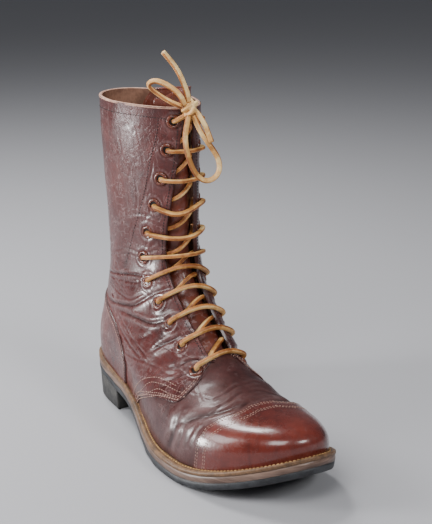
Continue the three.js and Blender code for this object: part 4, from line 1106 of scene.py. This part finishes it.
def eyelets():
    """Ring for each eyelet, a profile turned round its axis, and one piece with a dark disc in every hole,
    painted shade.
    """
    angle = np.arange(RING_SIDES) / RING_SIDES * 2 * PI
    hole_shades = []
    for number in range(len(EYELETS)):
        for side, word in ((-1, "lateral"), (1, "medial")):
            _, place, out = eyelet_seat(number, side)
            across = unit(np.cross(out, (0, 0, 1.0)))
            spoke = np.cos(angle)[:, None] * across + np.sin(angle)[:, None] * np.cross(across, out)
            seat = place + out * (STEP - 0.1)
            ring = seat + RING_PROFILE[:, None, :1] * spoke + RING_PROFILE[:, None, 1:] * out
            label = "%s_%02d" % (word, number + 1)
            faces = [grid_faces(len(RING_PROFILE), RING_SIDES, wrap=True)]
            add_mesh("ring_" + label, ring, faces, EYELET_PAINT, "eyelet", ("eyelet_" + label,))
            # a dark disc just over the seat fills the hole: painted shade
            disc = np.concatenate([[seat + out * 0.15], seat + out * 0.2 + BORE_RADIUS * spoke])
            hole_shades.append((disc, [fan(0, 1, RING_SIDES)]))
    add_mesh("eyelet_hole_shades", *join_parts(hole_shades), HOLE_SHADE, "eyelet")


eyelets()

# Lace through the eyelets

# how far the laces of some rows hang below their eyelets, counted from the top
SAG = {2: 0.8, 3: 5.0, 4: 1.0}
UPRIGHT = (0, 0, 1.0)


def climb_at(level):
    """Direction up the instep ridge, with no part sideways."""
    v = surface(PI, level + 0.01) - surface(PI, level - 0.01)
    v[0] = 0
    return unit(v)


def across_point(lateral_row, medial_row, share, offset):
    """Point over the face between two eyelets, at a share from -1 (lateral) to 1 (medial).

    The level is halved down on until the point is as high up the ridge as the straight line.
    """
    mix = (share + 1) / 2
    target = eyelet_seat(lateral_row, -1)[1] * (1 - mix) + eyelet_seat(medial_row, 1)[1] * mix
    (level_a, reach_a), (level_b, reach_b) = EYELETS[lateral_row], EYELETS[medial_row]
    middle = (level_a + level_b) / 2
    climb = climb_at(min(middle, 0.98))
    reach = (reach_a * (1 - mix) + reach_b * mix) * BALL_WIDTH * abs(share)
    side = -1 if share < 0 else 1
    low, high = middle - 0.06, min(middle + 0.12, 1.0)
    for _ in range(11):
        level = (low + high) / 2
        rise = np.dot(surface(float(turn_at(level, side, reach)), level) - target, climb)
        low, high = (level, high) if rise < 0 else (low, level)
    return raised(float(turn_at(level, side, reach)), level, offset)


def leave_eyelet(row, side, towards):
    """Points of a lace that comes up through an eyelet and lies down over its flange."""
    _, place, out = eyelet_seat(row, side)
    way = towards - place
    way = unit(way - out * np.dot(way, out))
    return [place + out * height + way * reach for height, reach in (
        (UNDER_FACING, 1.2), (0, 1.2), (FLANGE_SEAT + LACE_R, 1.4), (OVER_FLANGE, LACE),
        (OVER_FLANGE, 4.8 + LACE_R))]


def bar(row):
    """Straight crossing over the throat between the two eyelets of a row."""
    middle = [across_point(row, row, share, OVER_FACING + 0.3) for share in (-0.45, 0, 0.45)]
    climb = climb_at(EYELETS[row][0])
    middle[0] = middle[0] - climb * SAG.get(row, 0.0)
    middle[1] = middle[1] - climb * SAG.get(row, 0.0) * 0.6
    points = leave_eyelet(row, -1, middle[0]) + middle + leave_eyelet(row, 1, middle[2])[::-1]
    return strip(points, climb, rng.normal(0, 0.3))


def diagonal(row):
    """Crossing behind the facings, from a lateral eyelet to the medial one above it."""
    middle = [across_point(row, row - 1, share, UNDER_FACING) for share in (-0.5, -0.25, 0, 0.25, 0.5)]
    ends = [place + out * UNDER_FACING for _, place, out in (eyelet_seat(row, -1), eyelet_seat(row - 1, 1))]
    return strip(ends[:1] + middle + ends[1:], UPRIGHT, rng.normal(0, 0.4))


def last_rise(side):
    """Last piece of the lace, from a top eyelet to the knot."""
    rest = KNOT + np.array([side * 3.2, 2.7, -6.9])
    inside = KNOT + np.array([side * 1.0, 1.5, -2.0])
    return strip(leave_eyelet(0, side, rest) + [rest, inside], UPRIGHT)


crossed_rows = range(1, len(EYELETS))
laces = [bar(row) for row in crossed_rows]
laces += [diagonal(row) for row in crossed_rows]
laces += [last_rise(side) for side in (-1, 1)]
skin, faces = join_parts([lace[1:] for lace in laces])
sides = np.concatenate([side_share(lace[1]) for lace in laces])
add_mesh("lacing", skin, faces, RAWHIDE, "lace", ("lace_run", "lace_rise_lateral"),
         attributes={"side": sides})

# the knot's wraps, relative to its middle
WRAPS = [
    [(-5.4, 0.5, -2.4), (-3.6, -3.6, 0.6), (0.6, -4.6, 2.6), (4.6, -2.6, 3.4), (5.6, 1.2, 1.6)],
    [(-4.6, -0.8, 3.6), (-2.0, -4.2, 1.4), (1.4, -4.8, -1.4), (4.4, -2.6, -3.4), (5.0, 0.8, -4.2)],
    [(-3.2, 1.0, -5.0), (-1.8, -2.6, -4.6), (-0.4, -5.6, -0.6), (0.2, -3.4, 4.0), (1.2, 0.6, 5.4)],
]
wraps = [strip(np.array(wrap) + KNOT, (0, 1.0, 0), step=0.8)[1:] for wrap in WRAPS]
add_mesh("bow_knot", *join_parts(wraps), RAWHIDE, "lace", ("lace_knot",))

# Sole

SOLE_STEPS = 260
WAVES = 60
WELT_FOOT = RUBBER + MIDSOLE
TREAD_DEPTH = 2.4
TREAD_PITCH = 9.0
TREAD_GROOVE = 2.6
TREAD_MARGIN = 5.0
TREAD_SINK = 0.2
# rings of the layers: inset from the edge, height over the underside, and how uneven
WELT_RINGS = [
    (9.5, WELT_FOOT), (0.5, WELT_FOOT), (-0.1, WELT_FOOT + 0.5, 0.25), (-0.15, WELT_FOOT + 2.0, 0.25),
    (0.1, STACK - 0.8, 0.25), (0.7, STACK - 0.25, 0.2), (1.6, STACK - 0.1), (4.2, STACK - 0.35),
    (5.4, STACK - 0.6), (9.5, STACK - 0.6)]
MIDSOLE_RINGS = [
    (0.8, RUBBER), (0.3, RUBBER + 0.4, 0.2), (0.25, RUBBER + 2.7, 0.25), (0.3, WELT_FOOT - 0.5, 0.2),
    (0.9, WELT_FOOT)]
OUTSOLE_RINGS = [
    (TREAD_MARGIN, TREAD_DEPTH), (TREAD_MARGIN, 0.0), (4.0, 0.0), (1.6, 0.05, 0.3), (0.8, 0.7, 0.5),
    (0.5, 3.0, 0.4), (0.6, RUBBER - 0.5, 0.3), (1.2, RUBBER)]
sole_turn = (np.arange(SOLE_STEPS) / SOLE_STEPS * 2 - 1) * PI
seeds = itertools.count(1)


def sole_ring(inset, height, uneven=0.0):
    """Closed ring round the sole; an uneven one has waves whose height falls with their number."""
    wave = np.zeros(SOLE_STEPS)
    if uneven:
        own_rng = np.random.default_rng(next(seeds))
        for k in range(1, WAVES):
            height_k, shift = own_rng.normal(0, 1), own_rng.uniform(0, 6.3)
            wave = wave + height_k * np.sin(k * sole_turn + shift) / math.sqrt(k)
        wave = wave * uneven * 0.3
    x, s = edge_point(np.abs(sole_turn), np.where(sole_turn < 0, -1.0, 1.0), inset + wave)
    return np.stack([x, HEEL_AXIS - s, underside(s) + height], -1)


def layer(name, rings, material, slot, swaps, closed=True):
    """Layer of the sole through its rings; a closed one has its first and last ring filled in."""
    faces = [grid_faces(len(rings), SOLE_STEPS, wrap=True)]
    i = np.arange(1, SOLE_STEPS // 2)
    fill = np.stack([i, i + 1, SOLE_STEPS - i - 1, SOLE_STEPS - i], -1)
    if closed:
        faces += [fill, fill[:, ::-1] + (len(rings) - 1) * SOLE_STEPS]
    add_mesh(name, rings, faces, material, slot, swaps)


def rings_of(table):
    """Rings of the sole from rows of inset, height and unevenness."""
    return [sole_ring(*row) for row in table]


layer("welt_strip", rings_of(WELT_RINGS), WELT_LEATHER, "welt_leather", ("welt",), closed=False)
layer("midsole_layer", rings_of(MIDSOLE_RINGS), MIDSOLE_LEATHER, "midsole_leather", ("midsole",))
layer("outsole_rubber", rings_of(OUTSOLE_RINGS), RUBBER_BLACK, "rubber", ("outsole",))


def tread_block(start, end, edges):
    """Block of the tread from one distance to another, filling the recess in the outsole."""
    s = np.linspace(start, end, max(2, int((end - start) / 3) + 1))
    x = [np.interp(s, edge_s, edge_x) for edge_x, edge_s in edges]
    top = TREAD_DEPTH + TREAD_SINK
    corners = [np.stack([x[side], HEEL_AXIS - s, underside(s) + height], -1)
               for side, height in ((0, 0.05), (1, 0.05), (1, top), (0, top))]
    end_face = np.array([[0, 1, 2, 3]])
    faces = [grid_faces(len(s), 4, wrap=True), end_face[:, ::-1], end_face + 4 * (len(s) - 1)]
    return np.stack(corners, 1).reshape(-1, 3), faces


def tread():
    """Blocks between cross grooves at an even pitch under the forepart; the rest is one block."""
    edges = []
    for side in (-1, 1):
        x, s = edge_point(np.linspace(0, PI, 400), side, TREAD_MARGIN + 0.1)
        edges.append((x, np.maximum.accumulate(s)))
    grooves = np.arange(WAIST_END - 5 * TREAD_PITCH, SOLE_LENGTH - TREAD_MARGIN - 2, TREAD_PITCH)
    starts = np.r_[TREAD_MARGIN + 1, grooves + TREAD_GROOVE / 2]
    ends = np.r_[grooves - TREAD_GROOVE / 2, SOLE_LENGTH - TREAD_MARGIN - 1]
    blocks = [tread_block(*span, edges) for span in zip(starts, ends) if span[1] - span[0] >= 1]
    add_mesh("tread_blocks", *join_parts(blocks), RUBBER_BLACK, "rubber", smooth=False)


tread()
board_inset = show_at(np.abs(sole_turn)) + WALL + 0.2
board = [sole_ring(board_inset, height) for height in (WELT_FOOT + 0.1, STACK + 0.5)]
layer("insole_board", board, LINING, "insole_leather", ("insole",))

HEEL_INSET = 1.2
HEEL_TAPER = 1.6
HEEL_HOLLOW = 3.0
# share of the heel's height, and how much its edge is drawn in there
HEEL_RINGS = ((0.0, 1.4), (0.02, 0.5), (0.05, 0.1), (0.5, 0.0), (0.95, 0.0), (0.99, 0.4), (1.0, 1.0))


def heel():
    """Block under the seat: the sole's edge drawn in towards the floor, and a hollow breast."""
    last_angle = math.acos(1 - 2 * (HEEL_LENGTH - HEEL_INSET) / SOLE_LENGTH)
    angle = np.linspace(-1, 1, 80) * last_angle
    across = np.linspace(0, 1, 26)[1:-1]
    rings = []
    for share, drawn_in in HEEL_RINGS:
        inset = HEEL_INSET + HEEL_TAPER * (1 - share) + drawn_in
        x, s = edge_point(np.abs(angle), np.where(angle < 0, -1.0, 1.0), inset)
        breast_x = x[-1] + (x[0] - x[-1]) * across
        breast_s = s[-1] + (s[0] - s[-1]) * across - HEEL_HOLLOW * np.sin(PI * across) - drawn_in
        x, s = np.r_[x, breast_x], np.r_[s, breast_s]
        rings.append(np.stack([x, HEEL_AXIS - s, share * (underside(s) - GAP)], -1))
    count = len(rings[0])
    points = np.concatenate(rings + [[rings[0].mean(0)], [rings[-1].mean(0)]])
    bottom, top = len(points) - 2, len(points) - 1
    faces = [grid_faces(len(rings), count, wrap=True), fan(bottom, 0, count, flip=True),
             fan(top, bottom - count, count)]
    add_mesh("heel_block", points, faces, HEEL_RUBBER, "rubber", ("heel",))


heel()

# Stitches

STITCH_RINGS = np.array([-0.5, -0.3, 0, 0.3, 0.5])
STITCH_SIDES = 6
STITCH_DIP = 0.25


def stitch_row(points, normals, pitch, length, width):
    """Stitches end to end along points on a surface.

    Each is a flat tube of five rings. At a share d of its length from its middle the radius is
    width / 2 times the root of 1 - |2 d| ** 2.5, and its two ends dip into the leather.
    """
    run = run_along(points)
    spots = np.arange(pitch / 2, run[-1], pitch)
    at = np.clip(spots[:, None] + STITCH_RINGS * length, 0, run[-1])
    place = np.stack([np.interp(at, run, points[:, i]) for i in range(3)], -1)
    normal = unit(np.stack([np.interp(at, run, normals[:, i]) for i in range(3)], -1))
    across = np.cross(unit(place[:, -1:] - place[:, :1]), normal)
    size = width / 2 * np.sqrt(np.maximum(1 - np.abs(2 * STITCH_RINGS) ** 2.5, 0.04))
    dip = np.where(np.abs(STITCH_RINGS) > 0.4, STITCH_DIP, 0.0)
    angle = np.arange(STITCH_SIDES)[:, None] / STITCH_SIDES * 2 * PI
    spoke = np.cos(angle) * across[:, :, None] + 0.75 * np.sin(angle) * normal[:, :, None]
    rings = (place - normal * dip[:, None])[:, :, None] + size[:, None, None] * spoke
    one = grid_faces(len(STITCH_RINGS), STITCH_SIDES, wrap=True)
    starts = len(STITCH_RINGS) * STITCH_SIDES * np.arange(len(spots))
    return rings.reshape(-1, 3), [(one + starts[:, None, None]).reshape(-1, 4)]


def inset_line(line, side, distance, centre):
    """Seam that runs distance millimetres inside an edge line, on the side of the centre turn.

    The moved points come back to turn and level by Newton steps on the surface's two slopes.
    """
    turn, level = line[:, 0].copy(), line[:, 1].copy()
    edge = surface(side * turn, level)
    inwards = np.cross(unit(np.gradient(edge, axis=0)), outward(side * turn, level))
    middle = surface(np.full_like(turn, centre) * side, level)
    signs = np.sign(np.einsum("ij,ij->i", inwards, middle - edge))
    target = edge + inwards * np.sign(np.median(np.where(signs == 0, 1, signs))) * distance
    d = 0.002
    for _ in range(5):
        now = surface(side * turn, level)
        by_turn = (surface(side * (turn + d), level) - now) / d
        by_level = (surface(side * turn, np.clip(level + d, 0, 1)) - now) / d
        downwards = (now - surface(side * turn, np.clip(level - d, 0, 1))) / d
        by_level = np.where(np.abs(by_level) < 1e-9, downwards, by_level)
        off = target - now
        a11, a12, a22 = ((p * q).sum(1) for p, q in (
            (by_turn, by_turn), (by_turn, by_level), (by_level, by_level)))
        b1, b2 = (by_turn * off).sum(1), (by_level * off).sum(1)
        det = np.maximum(a11 * a22 - a12 * a12, 1e-9)
        turn = np.clip(turn + (a22 * b1 - a12 * b2) / det, 0, PI)
        level = np.clip(level + (a11 * b2 - a12 * b1) / det, 0, 1)
    return side * turn, level


def sewn(turn, level, lift, relief=1.0):
    """Points and normals of a seam that follows a panel's relief at the given lift."""
    base, normal = surface(turn, level), outward(turn, level)
    height, _, _ = crease_field(base)
    return base + normal * (lift + relief * (height + puff_field(base)))[:, None], normal


# Lines of stitching on the quarters: kind, pitch, then turn in degrees and level
QUARTER_SEAMS = [
    ("dark", 2.6, [(2, 0.987), (60, 0.987), (110, 0.987), (140, 0.986), (158, 0.984)]),
    ("dark", 2.6, [(139, 0.985), (138, 0.966), (132, 0.938), (128, 0.916), (119, 0.866), (106, 0.81),
                   (98, 0.77), (92, 0.735)]),
    ("pale", 2.9, [(74, 0.004), (80, 0.14), (94, 0.299), (106, 0.35), (114, 0.361), (121, 0.36),
                   (128, 0.368)]),
    ("pale", 2.9, [(75, 0.004), (84, 0.17), (101, 0.311), (112, 0.337), (119, 0.343), (126, 0.352)]),
    ("pale", 2.9, [(76, 0.004), (88, 0.2), (104, 0.303), (113, 0.325), (120, 0.333)]),
    ("pale", 2.9, [(72, 0.004), (78, 0.16), (90, 0.3), (104, 0.362), (113, 0.376), (122, 0.376)]),
]
# Rows beside a panel's edge: kind, distance from the edge, pitch, length and width of a stitch
FACING_SEAMS = [("dark", 3.0, 2.6, 1.9, 0.75)]
LOWER_SEAMS = [("pale", 2.0, 2.9, 2.3, 0.7), ("pale", 3.9, 2.9, 2.3, 0.7)]
CAP_SEAMS = [("pale", distance, 2.8, 2.2, 0.65) for distance in (1.6, 3.4, 9.5, 11.3)]
COUNTER_SEAMS = [("dark", 1.8, 2.8, 2.1, 0.7), ("pale", 3.4, 2.8, 2.1, 0.7)]
SEAM_END = 20


def stitches():
    """All rows of stitches on the upper, one piece for each colour of thread."""
    parts = {"pale": [], "dark": []}

    def beside(line, side, centre, seams, lift, relief=1.0):
        for kind, distance, *sizes in seams:
            seam = inset_line(line, side, distance, centre)
            parts[kind].append(stitch_row(*sewn(*seam, lift, relief), *sizes))

    for side in (-1, 1):
        line = quarter_lines[side]
        beside(line[:FACING_ROWS], side, 0.0, FACING_SEAMS, STEP + 0.15)
        beside(line[FACING_ROWS - 1:-SEAM_END], side, 0.0, LOWER_SEAMS, STEP + 0.1)
        for kind, pitch, table in QUARTER_SEAMS:
            turn, level = curve_through(table, 80)
            row = stitch_row(*sewn(side * turn, level, STEP + 0.1), pitch, 0.78 * pitch, 0.7)
            parts[kind].append(row)
        beside(cap_lines[side], side, PI, CAP_SEAMS, CAP_LIFT + SEAM_LIFT, CAP_RELIEF)
        beside(counter_lines[side], side, 0.0, COUNTER_SEAMS, STEP + COUNTER_THICK + SEAM_LIFT,
               COUNTER_RELIEF)
    add_mesh("stitches_pale", *join_parts(parts["pale"]), THREAD, "upper_leather")
    add_mesh("stitches_dark", *join_parts(parts["dark"]), DARK_THREAD, "upper_leather")


def welt_stitches():
    """Row of stitches on the welt's top, all round the upper's foot."""
    ring = sole_ring(4.4, STACK - 0.1)
    ring = np.concatenate([ring, ring[:1]])
    points, faces = stitch_row(ring, np.tile((0, 0, 1.0), (len(ring), 1)), 3.1, 2.6, 1.5)
    add_mesh("stitches_welt", points, faces, WELT_THREAD, "welt_leather")


stitches()
welt_stitches()

# Floor and light

FLOOR_HALF = 6.0
AIM = Vector((0, -0.07, 0.12))


def studio_floor():
    """Plain pale floor."""
    mesh = bpy.data.meshes.new("floor")
    corners = [(x * FLOOR_HALF, y * FLOOR_HALF, 0) for x, y in ((-1, -1), (1, -1), (1, 1), (-1, 1))]
    mesh.from_pydata(corners, [], [(0, 1, 2, 3)])
    paint = Shader("floor")
    paint.surface({"Base Color": (0.4, 0.4, 0.42, 1), "Roughness": 0.8})
    mesh.materials.append(paint.material)
    floor = bpy.data.objects.new("floor", mesh)
    bpy.context.scene.collection.objects.link(floor)


def studio_air():
    """Faint cool light from all round."""
    world = bpy.data.worlds.new("studio")
    bpy.context.scene.world = world
    world.use_nodes = True
    background = world.node_tree.nodes["Background"]
    background.inputs["Color"].default_value = (0.74, 0.76, 0.82, 1)
    background.inputs["Strength"].default_value = 0.16


def softbox(name, azimuth, elevation, distance, wide, tall, power):
    """Area light seen from the boot at an azimuth and elevation in degrees, turned towards it."""
    towards = Vector(direction(math.radians(azimuth), math.radians(elevation)))
    data = bpy.data.lights.new(name, "AREA")
    data.shape = "RECTANGLE"
    data.size, data.size_y = wide, tall
    data.energy = power
    obj = bpy.data.objects.new(name, data)
    obj.location = AIM + distance * towards
    obj.rotation_euler = (-towards).to_track_quat("-Z", "Y").to_euler()
    bpy.context.scene.collection.objects.link(obj)


studio_floor()
studio_air()
softbox("key_low", -113, 3, 1.1, 0.13, 0.28, 12)
softbox("key_left", -108, 28, 1.15, 0.3, 0.4, 5)
softbox("key_back", -174, 58, 1.3, 0.45, 0.4, 18)
softbox("fill_front", -50, 46, 1.6, 0.8, 0.6, 16)
softbox("right", 14, 32, 1.5, 0.4, 0.4, 10)
